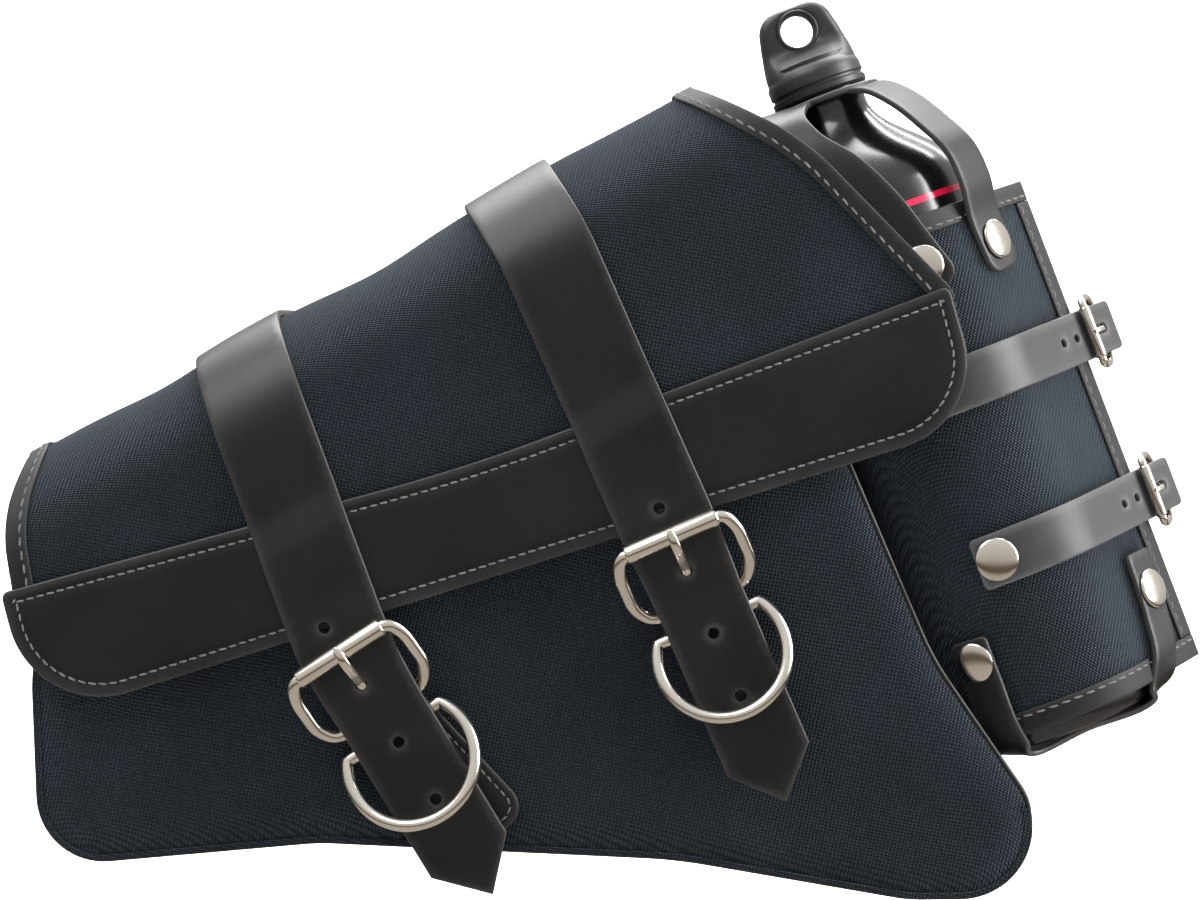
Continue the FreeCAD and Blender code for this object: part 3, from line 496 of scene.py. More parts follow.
def leather_material(name, dark, light, edge, rough, grain=1.0):
    """Smooth dyed leather with fine grain, a slow change of tone and lighter cut edges, partly wear and
    partly a painted highlight.
    """
    made = Nodes(name)
    pores = made.noise(2600.0 * grain, 3.0, 0.6)
    cloudy = made.noise(28.0, 4.0)
    tone = made.ramp(made.blend(cloudy, 0.75, pores, 0.25), [(0.3, dark), (0.72, light)])
    mix = made.tree.nodes.new("ShaderNodeMix")
    mix.data_type = "RGBA"
    # cut edges mixed towards the lighter edge colour: partly wear, partly a painted highlight on edges that
    # catch the light
    worn_and_lit = made.math("MULTIPLY", made.edge_wear_and_highlight(), made.math("ADD", cloudy, 0.25))
    for key, value in (("Factor", worn_and_lit), ("A", tone), ("B", (*edge, 1.0))):
        made.put(value, mix.inputs[key])
    made.set(Base_Color=mix.outputs["Result"], Roughness=made.scaled(cloudy, 0.22, rough - 0.11),
             Specular_IOR_Level=0.42)
    made.bump(made.math("ADD", pores, made.math("MULTIPLY", cloudy, 0.6)), 0.28, 0.00016)
    return made.material


def metal_material(name, colour, rough):
    """Bright plated metal with faint polishing marks."""
    made = Nodes(name)
    marks = made.noise(420.0, 5.0, 0.7)
    tint = made.ramp(made.noise(60.0, 2.0), [(0.35, tuple(c * 0.93 for c in colour)), (0.7, colour)])
    made.set(Base_Color=tint, Roughness=made.scaled(marks, 0.14, rough - 0.05), Metallic=1.0)
    made.bump(marks, 0.05, 0.00008)
    return made.material


def plain_material(name, dark, light, rough, noise=300.0, coat=0.0, bump=0.05):
    """A moulded or lacquered surface with slight unevenness."""
    made = Nodes(name)
    grain = made.noise(noise, 3.0)
    made.set(Base_Color=made.ramp(grain, [(0.3, dark), (0.7, light)]),
             Roughness=made.scaled(grain, 0.06, rough - 0.03), Coat_Weight=coat, Coat_Roughness=0.15)
    made.bump(grain, bump, 0.0001)
    return made.material


def thread_material():
    """Waxed grey thread with its twist."""
    made = Nodes("thread")
    twist = made.along((1.0, 0.4, 1.0), 0.00045)
    colour = made.ramp(made.scaled(twist, 0.3, made.noise(700.0)),
                       [(0.2, (0.055, 0.052, 0.05)), (0.8, (0.19, 0.18, 0.175))])
    made.set(Base_Color=colour, Roughness=0.7)
    made.bump(twist, 0.5, 0.0001)
    return made.material


CANVAS = canvas_material()
# each leather's third colour is for its cut edges: partly wear, partly a painted highlight
# the belts' leather is the same black leather painted lighter, as painted light standing in for the brighter
# light on the holder's side
BELT_LEATHER_LIT = leather_material("belt_leather_lit", (0.017, 0.017, 0.0175), (0.032, 0.032, 0.033),
                                (0.095, 0.093, 0.092), 0.44)
BINDING = leather_material("binding", (0.0022, 0.0021, 0.0022), (0.0046, 0.0044, 0.0045),
                           (0.018, 0.018, 0.018), 0.60)
LEATHER = leather_material("leather", (0.0025, 0.0022, 0.0022), (0.0056, 0.0050, 0.0049),
                           (0.040, 0.038, 0.037), 0.40)
FLESH = leather_material("flesh_side", (0.055, 0.030, 0.017), (0.12, 0.068, 0.038),
                         (0.16, 0.10, 0.06), 0.85, 0.4)
NICKEL = metal_material("nickel", (0.88, 0.83, 0.75), 0.16)
LACQUER = plain_material("bottle_lacquer", (0.0035, 0.0035, 0.0045), (0.006, 0.006, 0.0075), 0.27,
                         40.0, 0.7, 0.004)
CAP_PLASTIC = plain_material("cap_plastic", (0.011, 0.0115, 0.013), (0.02, 0.021, 0.023), 0.42, 900.0)
RING_RED = plain_material("ring_red", (0.62, 0.008, 0.05), (0.75, 0.012, 0.075), 0.2, 200.0, 0.6)
BOARD = plain_material("board", (0.02, 0.02, 0.02), (0.04, 0.04, 0.042), 0.8, 500.0)
SEAL = plain_material("seal_rubber", (0.05, 0.05, 0.05), (0.09, 0.09, 0.09), 0.75, 600.0)
THREAD = thread_material()


# ---------------------------------------------------------------- surfaces

def ridge_axes():
    """Directions along the ridge and square to it, down the front, as (x, z)."""
    along = np.array([math.cos(RIDGE_LEAN), math.sin(RIDGE_LEAN)])
    down = np.array([math.sin(RIDGE_LEAN), -math.cos(RIDGE_LEAN)])
    return along, down


ALONG, DOWN = ridge_axes()
QUARTER_FRONT = FRONT_BEND * math.pi / 2
QUARTER_BACK = BACK_BEND * math.pi / 2
TOP_FLAT = FLAP_MIDDLE - FRONT_BEND - FLAP_BACK - BACK_BEND


def unfold(points):
    """Front-view places (x, z) as places on the unfolded flap: along the ridge, and up to it."""
    rel = np.asarray(points, float)[:, :2] - RIDGE_START
    along, below = rel @ ALONG, rel @ DOWN
    bent = FRONT_BEND * np.arccos(np.clip(1 - np.maximum(below, 0) / FRONT_BEND, -1, 1))
    down = np.where(below < FRONT_BEND, bent, QUARTER_FRONT + below - FRONT_BEND)
    return np.stack([along, -np.where(below < 0, below, down)], 1)


def soft_waves(along, down):
    """Small swells of the canvas, which every piece on the flap follows."""
    first = np.sin(along / 41.0 + 0.7) * np.sin(down / 57.0 + 0.4)
    second = np.sin(along / 23.0 + down / 38.0 + 1.9)
    rest = np.clip((down - 20.0) / 60.0, 0, 1)
    return (0.75 + 0.5 * first + 0.25 * second) * rest


def ridge_sag(along):
    """How far the top of the flap dips between the straps."""
    return (2.6 * np.exp(-((along - 128.0) / 26.0) ** 2) + 1.8 * np.exp(-((along - 32.0) / 22.0) ** 2)
            - 1.2 * np.exp(-((along - 205.0) / 30.0) ** 2))


def flap_surface(flat):
    """The flap's middle surface: down the front for negative places, over the top to the back."""
    along, down = flat[:, 0], -flat[:, 1]
    on_arc = np.clip(down, 0, QUARTER_FRONT) / FRONT_BEND
    depth = (FLAP_MIDDLE - FRONT_BEND) + FRONT_BEND * np.sin(on_arc)
    below = FRONT_BEND * (1 - np.cos(on_arc)) + np.maximum(down - QUARTER_FRONT, 0)
    over = np.maximum(-down, 0)
    depth = depth - np.minimum(over, TOP_FLAT)
    back = np.clip(over - TOP_FLAT, 0, QUARTER_BACK) / BACK_BEND
    depth = depth - BACK_BEND * np.sin(back)
    below = below + BACK_BEND * (1 - np.cos(back)) + np.maximum(over - TOP_FLAT - QUARTER_BACK, 0)
    top = np.exp(-(np.maximum(np.abs(down + 12.0) - 14.0, 0) / 26.0) ** 2)
    below = below + ridge_sag(along) * top
    depth = depth + soft_waves(along, down)
    place = np.outer(along, ALONG) + np.outer(below, DOWN) + RIDGE_START
    return lifted(place, -depth)


def leaning(origin, angle):
    """A function from a frame that leans towards -X by an angle to the bag's axes."""
    cos, sin = math.cos(angle), math.sin(angle)
    turn = np.array([[cos, 0, sin], [0, 1, 0], [-sin, 0, cos]])
    return lambda points: np.asarray(points, float) @ turn + np.array(origin)


def direction(place, way):
    """A direction of a leaning frame in the bag's axes."""
    return place([way])[0] - place([(0, 0, 0)])[0]


def facing(angle):
    """Outward and sideways directions of the holder's side at an angle from its front."""
    return (np.array([math.sin(angle), -math.cos(angle)]), np.array([math.cos(angle), math.sin(angle)]))


bottle_point = leaning(NECK, BOTTLE_LEAN)
AXIS_UP = direction(bottle_point, (0, 0, 1))
FLAT_SIDE = math.pi / 2 - math.acos(SLEEVE_RADIUS / SLEEVE_TIP)


def teardrop_line(step):
    """Closed section of the holder in the bottle's frame, from its outer edge round to it again."""
    slope = math.acos(SLEEVE_RADIUS / SLEEVE_TIP)
    turns = np.linspace(slope, 2 * math.pi - slope, int(SLEEVE_RADIUS * 2 * (math.pi - slope) / step))
    arc = np.stack([np.cos(turns), np.sin(turns)], 1) * SLEEVE_RADIUS
    line = resampled(np.concatenate([[[SLEEVE_TIP, 0]], arc]), step, True)
    return np.concatenate([line, line[:1]])


SECTION = teardrop_line(1.0)
SECTION_REACH = reach_along(SECTION)
ROUND = SECTION_REACH[-1]


def sleeve_surface(flat):
    """The holder's middle surface: round it for the first place, height for the second."""
    reach = np.mod(flat[:, 0], ROUND)
    drop = -flat[:, 1]
    middle = np.clip((drop - SLEEVE_TOP) / (SLEEVE_BOTTOM - SLEEVE_TOP), 0, 1)
    waist = 0.012 * np.sin(middle * math.pi) * np.sin(reach / 31.0 + drop / 45.0)
    swell = 1.0 - waist * np.clip(1 - np.abs(reach - ROUND / 2) / (ROUND / 2), 0, 1)
    spot = followed(SECTION, SECTION_REACH, reach) * swell[:, None]
    return bottle_point(np.column_stack([spot, flat[:, 1]]))


# ---------------------------------------------------------------- stitching

def stitches(name, line, surface, lift, body, pitch, length, closed=False):
    """One row of thread stitches along a line on a surface."""
    width, rows, sides = 0.85, 7, 6
    line = np.concatenate([line, line[:1]]) if closed else line
    reach = reach_along(line)
    count = int(reach[-1] / pitch)
    spots = np.linspace(-length / 2, length / 2, rows)
    swell = np.sqrt(np.clip(1 - (spots / (length / 2)) ** 2, 0.05, 1))[:, None]
    radius = width / 2 * (0.35 + 0.65 * swell)
    turn = circle(1.0, sides)
    rise = (lift + 0.42 * width * swell - 0.12 + turn[:, 1] * radius * 0.8)[..., None]
    aside = (turn[:, 0] * radius + spots[:, None] * 0.10)[..., None]
    points, faces = [], []
    for index in range(count):
        middle = (index + 0.5) * reach[-1] / count
        base, normal = frame_of(surface, followed(line, reach, middle + spots))
        side = np.cross(unit(np.gradient(base, axis=0)), normal)
        rings = base[:, None] + normal[:, None] * rise + side[:, None] * aside
        faces += [face[::-1] for face in tube_faces(len(points), rows, sides)]
        points += list(rings.reshape(-1, 3))
    return attach(new_object(name, points, faces, [THREAD]), body, "leather")


# ---------------------------------------------------------------- bag body

SEAM_ROLL, SEAM_DROP = 15.0, 5.5


def front_dips(flat):
    """Slow hollows of the front panel."""
    x, z = flat[:, 0], flat[:, 1]
    return (1.3 * (1 + np.sin(x / 47.0 + z / 71.0 + 0.6)) + 0.7 * (1 + np.sin(x / 29.0 - z / 33.0)))


def panel(name, outline, face, seam, sign, holes=()):
    """A body panel that rolls back to its seam; face is its depth, and sign the way that it faces."""
    loop = rounded(outline, 2.5)

    def surface(flat):
        gap = distance(flat, loop)
        dips = front_dips(flat) * np.clip(gap / 40.0, 0, 1) if sign > 0 else 0.0
        return lifted(flat, sign * seam * np.clip(1 - gap / SEAM_ROLL, 0, 1) ** 2 + dips - face)

    return sheet_piece(name, loop, CANVAS_THICK, surface, [CANVAS], holes=holes, step=3.2,
                       lift=-sign * CANVAS_THICK / 2, edge=0.5)


def welt(name, outline, depth):
    """The covered cord along a panel's seam."""
    flat = anticlockwise(rounded(outline, 2.5))
    line = lifted(flat + left_of(flat) * 1.1, -depth)
    return swept(name, line, circle(1.35, 20), [LEATHER], closed=True)


def make_wall():
    """The wall between the panels, drawn in a little at its middle, with an even thickness."""
    flat = anticlockwise(rounded(WALL_OUTLINE, 3.0))
    first, last = [int(np.argmin(np.linalg.norm(flat - end, axis=1))) for end in (MOUTH_LEFT, WALL_MOUTH)]
    path = np.roll(flat, -first, 0)[:(last - first) % len(flat) + 1]
    normals, reach = left_of(path, closed=False), reach_along(path)
    rows, back, front = 30, 2.6, 95.0
    points = []
    for thick in (0.0, CANVAS_THICK):
        for share in np.linspace(0, 1, rows):
            wave = 2.2 + 0.8 * np.sin(reach / 19.0 + share * 5.0)
            draw = wave * math.sin(share * math.pi) + 0.8
            points.append(lifted(path + normals * (draw + thick)[:, None], -back - (front - back) * share))
    above, below, rim = shell_faces(grid_faces(rows, len(path))[:, ::-1], rows * len(path))
    return new_object("wall_canvas", np.concatenate(points), above + below + rim, [CANVAS])


def make_bag():
    """Front and back panels, wall, and welted seams."""
    holes = [circle(6.6, 32, eyelet) for eyelet in EYELETS]
    front = attach(panel("front_canvas", FRONT_OUTLINE, BAG_FRONT, SEAM_DROP, 1),
                   "bag", "canvas", "front_panel")
    back = attach(panel("back_canvas", BACK_OUTLINE, 0.2, 1.2, -1, holes), "bag", "canvas", "back_panel")
    wall = attach(make_wall(), "bag", "canvas", "gusset")
    attach(welt("front_welt", FRONT_OUTLINE, BAG_FRONT - SEAM_DROP), "bag", "leather", "front_piping")
    attach(welt("back_welt", BACK_OUTLINE, 1.9), "bag", "leather", "back_piping")
    for piece, outline, size in ((front, FRONT_OUTLINE, (0.400, 0.286)),
                                 (back, BACK_OUTLINE, (0.400, 0.296))):
        abs(signed_area(rounded(outline))) * MM * MM
    line = rounded(WALL_OUTLINE, 3.0)


# ---------------------------------------------------------------- flap

HEM_REACH = TOP_FLAT + QUARTER_BACK + (HEM_DROP - BACK_BEND)


def flap_loop():
    """Outline of the unfolded flap, from its front edge over the ridge to the back hem."""
    front = rounded(FLAP_OUTLINE, 2.0)
    rel = (front - RIDGE_START) @ DOWN
    below = front[rel > 0.6]
    order = np.argsort(np.arctan2(*(below - below.mean(0)).T[::-1]))
    flat = unfold(below[order])
    gap = np.linalg.norm(np.roll(flat, -1, 0) - flat, axis=1)
    flat = np.roll(flat, -(int(np.argmax(gap)) + 1), 0)
    first, last = flat[0], flat[-1]
    corners = np.array([[last[0], HEM_REACH], [first[0], HEM_REACH]])
    return resampled(np.concatenate([flat, corners]), 2.0, True)


def edge_line(loop, inset, left):
    """The part of the flap's edge, moved inwards, between the band and the back."""
    line = inset_loop(loop, inset)
    band_ends = unfold(np.array([BAND_OUTLINE[2][:2], BAND_OUTLINE[4][:2]]))
    above = band_ends[0 if left else 1, 1] - 5.0
    middle = (line[:, 0].min() + line[:, 0].max()) / 2
    keep = (line[:, 1] > above) & (line[:, 1] < 32.0) & ((line[:, 0] < middle) == left)
    first = int(np.argmax(keep & ~np.roll(keep, 1)))
    keep, line = np.roll(keep, -first), np.roll(line, -first, 0)
    return line[:int(np.argmin(keep))]


def strip_loop(line, width):
    """Closed outline of a strip of even width along a line."""
    normals = left_of(line, closed=False)
    return anticlockwise(np.concatenate([line + normals * width / 2, (line - normals * width / 2)[::-1]]))


def inset_loop(loop, distance_in):
    """A closed line moved inwards."""
    loop = anticlockwise(loop)
    return loop + left_of(loop) * distance_in


def make_flap():
    """The canvas flap, its stitched leather band and its two edge bindings."""
    loop = flap_loop()
    canvas = attach(sheet_piece("flap_canvas", loop, FLAP_THICK, flap_surface, [CANVAS], step=3.2),
                    "flap", "canvas", "flap")
    abs(signed_area(loop)) * MM * MM
    band_flat = unfold(rounded(BAND_OUTLINE, 1.6))
    lift = FLAP_THICK / 2 + BAND_THICK / 2 + 0.05
    attach(sheet_piece("band_leather", band_flat, BAND_THICK, flap_surface, [LEATHER, FLESH], step=2.6,
                       lift=lift, grooves=(5.0,)), "flap", "leather", "flap_band")
    stitches("band_stitches", inset_loop(band_flat, 5.0), flap_surface, lift + BAND_THICK / 2 - 0.3,
             "flap", 4.0, 3.0, closed=True)
    height = FLAP_THICK / 2 + 0.75
    for side in ("right", "left"):
        strip = strip_loop(edge_line(loop, 4.1, side == "left"), 8.4)
        attach(sheet_piece("flap_%s_leather" % side, strip, 1.4, flap_surface, [BINDING], step=2.2,
                           lift=height, edge=0.6), "flap", "leather", "flap_%s_binding" % side)
        stitches("flap_%s_stitches" % side, edge_line(loop, 5.9, side == "left"), flap_surface,
                 height + 0.62, "flap", 5.0, 3.5)


# ---------------------------------------------------------------- closure straps

def make_strap(side, place):
    """A closure strap: over the ridge, over the band, under the roller, to its pointed tail."""
    line = unfold(rounded(STRAP_ROUTES[side], 2.0, closed=False))
    line = line[line[:, 1] < -0.5]
    over = np.linspace(36.0, 0.0, 19)[:-1]
    slant = (line[6, 0] - line[0, 0]) / (line[6, 1] - line[0, 1])
    behind = np.stack([line[0, 0] + (over - line[0, 1]) * slant, over], 1)
    line = resampled(np.concatenate([behind, line]), 2.0, False)

    def down_at(up):
        """How far down the unfolded flap a height on the buckle's own line lies."""
        return -float(unfold(place([(0, 0, up)])[:, ::2])[0, 1])
    hinge_down, roller_down = down_at(0.0), down_at(CLOSURE_BUCKLE.depth)
    half = np.interp(line[:, 1], [-hinge_down, 30.0 - hinge_down],
                     [STRAP_WIDTH / 2 - 1.5, STRAP_WIDTH / 2])[:, None]
    normals, reach = left_of(line, closed=False), reach_along(line)
    first, second = line + normals * half, line - normals * half
    before_tail = reach < reach[-1] - TAIL_POINT
    loop = anticlockwise(np.concatenate([first[before_tail], line[-1:], second[before_tail][::-1]]))
    holes = [unfold(circle(2.15, 18, place([(0, 0, 12.5 + HOLE_PITCH * step)])[0, ::2]))
             for step in (1, 0, -1, -2)]
    band_down = roller_down - 46.0
    low = FLAP_THICK / 2 + 0.3 + STRAP_THICK / 2
    on_band = FLAP_THICK / 2 + BAND_THICK + 0.4 + STRAP_THICK / 2
    face = STRAP_FACE + STRAP_THICK / 2 - FLAP_MIDDLE

    def rise(flat):
        """Height over the flap: on the canvas, up on to the band, and out to the buckle."""
        down = -flat[:, 1]
        steps = np.interp(down, [-60, band_down - 12, band_down + 2, roller_down - 22, roller_down - 8,
                                 hinge_down + 200], [low, low, on_band, on_band, face, face])
        calm = np.clip((down - (roller_down - 22)) / 14.0, 0, 1)
        bow = -0.9 * np.clip((down - hinge_down - 20) / 60.0, 0, 1) ** 2
        return steps - soft_waves(flat[:, 0], down) * calm + bow
    attach(sheet_piece("strap_%s_leather" % side, loop, STRAP_THICK, flap_surface, [LEATHER, FLESH],
                       holes=holes, step=2.6, edge=0.75, relief=rise),
           "flap", "leather", "closure_strap_" + side)


def wire_line(corners, radius, step=1.2):
    """A closed line in space through corners, each turned on a radius."""
    made = []
    count = len(corners)
    for i, corner in enumerate(np.asarray(corners, float)):
        before = np.asarray(corners[i - 1], float) - corner
        after = np.asarray(corners[(i + 1) % count], float) - corner
        reach = min(radius, np.linalg.norm(before) * 0.45, np.linalg.norm(after) * 0.45)
        start, end = corner + unit(before) * reach, corner + unit(after) * reach
        for share in np.linspace(0, 1, 9):
            made.append(start * (1 - share) ** 2 + corner * 2 * share * (1 - share) + end * share ** 2)
    return resampled(np.array(made), step, True)


def frame_wire(name, place, size):
    """A buckle's bent wire frame, flattened a little on its arms."""
    def at(x, share):
        return [x, size.hinge_y + (size.roller_y - size.hinge_y) * share, size.depth * share]

    left = [at(-size.half * 0.8, 0), at(-size.half, 0.25), at(-size.half, 0.75),
            at(-size.roller_half - 2.4, 1)]
    line = wire_line(left + [[-x, y, z] for x, y, z in left[::-1]], size.wire * 2.0)
    on_bar = np.clip((line[:, 2] - size.depth + 3.0) / 3.0, 0, 1)
    inner = np.clip((size.roller_half + 0.6 - np.abs(line[:, 0])) / 2.0, 0, 1)
    scale = 1.0 - (1 - size.bar / size.wire) * on_bar * inner
    section = circle(size.wire, 20) * (1.28, 0.86)
    return swept(name, place(line), section, [NICKEL], closed=True, scale=scale)


def roller(name, place, size):
    """A rolled tube with its seam and turned-in ends."""
    gap = 0.07
    turns = np.linspace(gap, 2 * math.pi - gap, 56) - math.pi / 2 + 0.9
    trims = {0.0: 0.45, 0.35: 0.12, 0.9: 0.0}
    ends = [(size.roller_half - from_end, trim) for from_end, trim in trims.items()]
    rows = [(-x, trim) for x, trim in ends] + ends[::-1]
    rings = [(x, size.radius - trim) for x, trim in rows] + [(x, size.bore) for x, trim in rows]
    points = [[x, size.roller_y + math.cos(t) * radius, size.depth + math.sin(t) * radius]
              for x, radius in rings for t in turns]
    above, below, rim = shell_faces(grid_faces(len(rows), len(turns)), len(rows) * len(turns))
    return new_object(name, place(points), above + below + rim, [NICKEL], sharp=35.0)


def make_prong(name, node, body, place, size):
    """A flat prong that narrows to a rounded tip, with its eye wrapped round the hinge bar."""
    line = rounded(size.prong, 0.8, closed=False)
    points = place(np.column_stack([np.zeros(len(line)), line]))
    scale = np.interp(np.linspace(0, 1, len(points)), [0, 0.55, 0.9, 0.97, 1.0], [0.9, 1.0, 0.82, 0.6, 0.25])
    turn = circle(1.0, 18)
    section = np.sign(turn) * np.abs(turn) ** 0.6 * (size.prong_width / 2, size.prong_thick / 2)
    axis = direction(place, (1, 0, 0))
    front = np.cross(axis, points[-1] - points[0])
    shank = swept(name, points, section, [NICKEL], scale=scale, up_hint=front)
    radius, half = size.eye_radius, size.prong_width / 2
    ring = [(radius - 1.1, -half), (radius - 0.3, -half), (radius, -half + 0.3), (radius, half - 0.3),
            (radius - 0.3, half), (radius - 1.1, half), (radius - 1.1, -half)]
    eye = turned(name + "_eye", ring, place([(0, size.hinge_y, 0)])[0], axis, [NICKEL], 32)
    attach(shank, body, "nickel", node)
    attach(eye, body, "nickel")


def make_ring(side, place):
    """A D-ring of round wire."""
    radius, chord, wire, drop, tilt = 25.0, 13.5, 2.5, 9.5, math.radians(20.0)
    half = math.sqrt(radius ** 2 - chord ** 2)
    corner = math.atan2(chord, half)
    turns = np.linspace(math.pi - corner, 2 * math.pi + corner, 70)
    arc = np.stack([np.cos(turns) * radius, np.sin(turns) * radius - chord], 1)
    bar = np.stack([np.linspace(half, -half, 26)[1:-1], np.zeros(24)], 1)
    x, z = np.concatenate([arc, bar]).T
    line = np.stack([x, z * math.sin(tilt) + wire + 1.3, z * math.cos(tilt) - drop], 1)
    attach(swept("ring_" + side, place(line), circle(wire, 24), [NICKEL], closed=True),
           "ring_" + side, "nickel", "d_ring_" + side)


def make_chape(side, place, lean, length):
    """The strip sewn to the bag that holds the buckle and the ring, folded over their bars."""
    (x, z), behind = BUCKLES[side][0], 7.6
    own_place = leaning((x, -STRAP_FACE, z), math.radians(lean))
    loop = rounded([(-16, 2, 0), (-16, -length, 9), (16, -length, 9), (16, 2, 0)], 1.6)

    def surface(flat):
        return own_place(lifted(flat, behind - 1.0))
    attach(sheet_piece("chape_%s_strip" % side, loop, 2.0, surface, [LEATHER, FLESH], step=2.4, edge=0.7,
                       grooves=(3.4,)), "bag", "leather", "chape_" + side)
    stitches("chape_%s_stitches" % side, inset_loop(loop, 3.4), surface, 0.75, "bag", 3.7, 2.7,
             closed=True)
    turns = np.linspace(math.radians(80), math.radians(-80), 14)
    wraps = [[y - math.cos(t) * radius, up + math.sin(t) * radius]
             for y, up, radius in ((CLOSURE_BUCKLE.hinge_y, 0.0, 3.0), (3.8, -9.5, 3.35)) for t in turns]
    lap = np.array([[behind - 2.1, 3.0]] + wraps + [[behind - 2.1, -16.0]])
    reach = reach_along(lap)

    def lap_surface(flat):
        return place(np.column_stack([-flat[:, 0], followed(lap, reach, flat[:, 1])]))
    slot = rectangle(-3.2, 3.2, 2.0, 11.0, (1.5, 1.5, 2.5, 2.5), 0.8)
    outline = rectangle(-14, 14, 0, float(reach[-1]), (0, 0, 1, 1), 1.2)
    attach(sheet_piece("chape_%s_fold" % side, outline, 1.3, lap_surface, [LEATHER], holes=[slot],
                       step=1.6, edge=0.5), "bag", "leather")


def make_closures():
    """Both straps with their buckles, rings and chapes."""
    for side, chape_lean, chape_length in (("right", 23.5, 62.0), ("left", 43.0, 66.0)):
        (x, z), lean = BUCKLES[side]
        place = leaning((x, -STRAP_FACE, z), math.radians(lean))
        make_strap(side, place)
        attach(frame_wire("frame_" + side, place, CLOSURE_BUCKLE), "bag", "nickel", "buckle_frame_" + side)
        attach(roller("roller_" + side, place, CLOSURE_BUCKLE),
               "roller_" + side, "nickel", "buckle_roller_" + side)
        make_prong("prong_" + side, "buckle_prong_" + side, "prong_" + side, place, CLOSURE_BUCKLE)
        make_ring(side, place)
        make_chape(side, place, chape_lean, chape_length)


# ---------------------------------------------------------------- holder

def ring_loop(low, high, start, stop):
    """Outline of a strip round the holder between two heights."""
    return rectangle(start, stop, low, high, (0, 0, 0, 0), 2.4)


def make_holder():
    """The sleeve with its rim and edge bindings and their stitching."""
    start, seam = 0.05, ROUND - 0.05
    sleeve = sheet_piece("holder_canvas", ring_loop(-SLEEVE_BOTTOM, -SLEEVE_TOP, start, seam), SLEEVE_WALL,
                         sleeve_surface, [CANVAS], step=3.2, lift=-SLEEVE_WALL / 2)
    attach(sleeve, "bag", "canvas", "holder_sleeve")

    def bound(name, loop, step, row_name, row, *nodes):
        """A binding on the holder and the row of stitches along it."""
        attach(sheet_piece(name, loop, 1.3, sleeve_surface, [BINDING], step=step, lift=0.7, edge=0.5),
               "bag", "leather", *nodes)
        stitches(row_name, row, sleeve_surface, 1.25, "bag", 5.0, 3.5)
    for rim, low, high, stitch in (("top", -SLEEVE_TOP - 8.0, -SLEEVE_TOP, 1.9),
                                   ("bottom", -SLEEVE_BOTTOM, -SLEEVE_BOTTOM + 9.0, 7.0)):
        row = np.stack([np.linspace(1.0, ROUND - 1.0, 200), np.full(200, low + stitch)], 1)
        bound("holder_%s_leather" % rim, ring_loop(low, high, start, seam), 2.6,
              "holder_%s_stitches" % rim, row, "holder_%s_binding" % rim)
    low, high = -SLEEVE_BOTTOM + 9.1, -SLEEVE_TOP - 8.1
    for index, (near, far, at, nodes) in enumerate(((start, 8.5, 6.6, ["holder_edge_binding"]),
                                                    (ROUND - 8.5, seam, ROUND - 6.6, []))):
        row = np.stack([np.full(120, at), np.linspace(low + 1, high - 1, 120)], 1)
        bound("holder_edge_leather_%d" % index, ring_loop(low, high, near, far), 2.2,
              "holder_edge_stitches_%d" % index, row, *nodes)


def dome(name, centre, axis, radius, *nodes):
    """A domed stud head with a thin rim, fixed to the bag."""
    outline = [(0, STUD_HEIGHT)]
    outline += [(radius * math.sin(t), STUD_HEIGHT * (0.25 + 0.75 * math.cos(t)))
                for t in np.linspace(0.12, math.pi / 2, 12)]
    outline += [(radius, STUD_HEIGHT * 0.1), (radius - 0.25, 0.0), (radius * 0.6, -0.1), (0, -0.1)]
    attach(turned(name, outline, centre, axis, [NICKEL], 48), "bag", "nickel", *nodes)


def make_belt(name, drop):
    """A belt over the holder with its holes, buckle, chape and rivet."""
    outward, sideways = facing(FLAT_SIDE)
    seat = SLEEVE_RADIUS + 1.5
    middle = seat + BELT_THICK / 2
    turns = np.linspace(0, FLAT_SIDE, 24)
    arc = np.stack([np.sin(turns), -np.cos(turns)], 1) * middle
    straight = arc[-1] + np.outer(np.linspace(0.5, BELT_END, 40), sideways)
    line = np.concatenate([[[-13.0, -middle]], arc, straight])
    reach = reach_along(line)

    def surface(flat):
        return bottle_point(np.column_stack([followed(line, reach, flat[:, 0]), flat[:, 1] - drop]))
    total, tangent = float(reach[reach <= reach[25] + BELT_END][-1]), float(reach[24])
    loop = rectangle(0, total, -BELT_WIDTH / 2, BELT_WIDTH / 2, (2, 2, 2, 2), 1.8)
    holes = [circle(1.7, 16, (tangent + BELT_HINGE - along, 0.0)) for along in (24, 34)]
    slot_end = tangent + BELT_HINGE - 1
    slot = rectangle(slot_end - 8, slot_end, -1.9, 1.9, (1.5, 1.5, 1.5, 1.5), 0.8)
    # the belt takes the black leather painted lighter, as painted light on the holder's side
    attach(sheet_piece("belt_%s_leather" % name, loop, BELT_THICK, surface, [BELT_LEATHER_LIT, FLESH],
                       holes=holes + [slot], step=2.2, edge=0.7), "bag", "leather", "holder_belt_" + name)
    hinge = outward * seat + sideways * BELT_HINGE

    def place(points):
        """Places in the buckle's frame, whose own X runs up the bottle."""
        points = np.asarray(points, float)
        spot = hinge - points[:, 1:2] * outward - points[:, 2:] * sideways
        return bottle_point(np.column_stack([spot, points[:, :1] - drop]))
    attach(frame_wire("belt_frame_" + name, place, BELT_BUCKLE), "bag", "nickel", "belt_buckle_" + name)
    attach(roller("belt_tube_" + name, place, BELT_BUCKLE),
           "belt_roller_" + name, "nickel", "belt_roller_" + name)
    make_prong("belt_tongue_" + name, "belt_prong_" + name, "belt_prong_" + name, place, BELT_BUCKLE)
    spot = bottle_point([(-5.0, -middle - BELT_THICK / 2 - 0.2, -drop)])[0]
    dome("belt_stud_" + name, spot, (0, -1, 0), 8.4, "belt_rivet_" + name)
    make_belt_chape(name, drop, hinge - outward * BELT_BUCKLE.hinge_y)


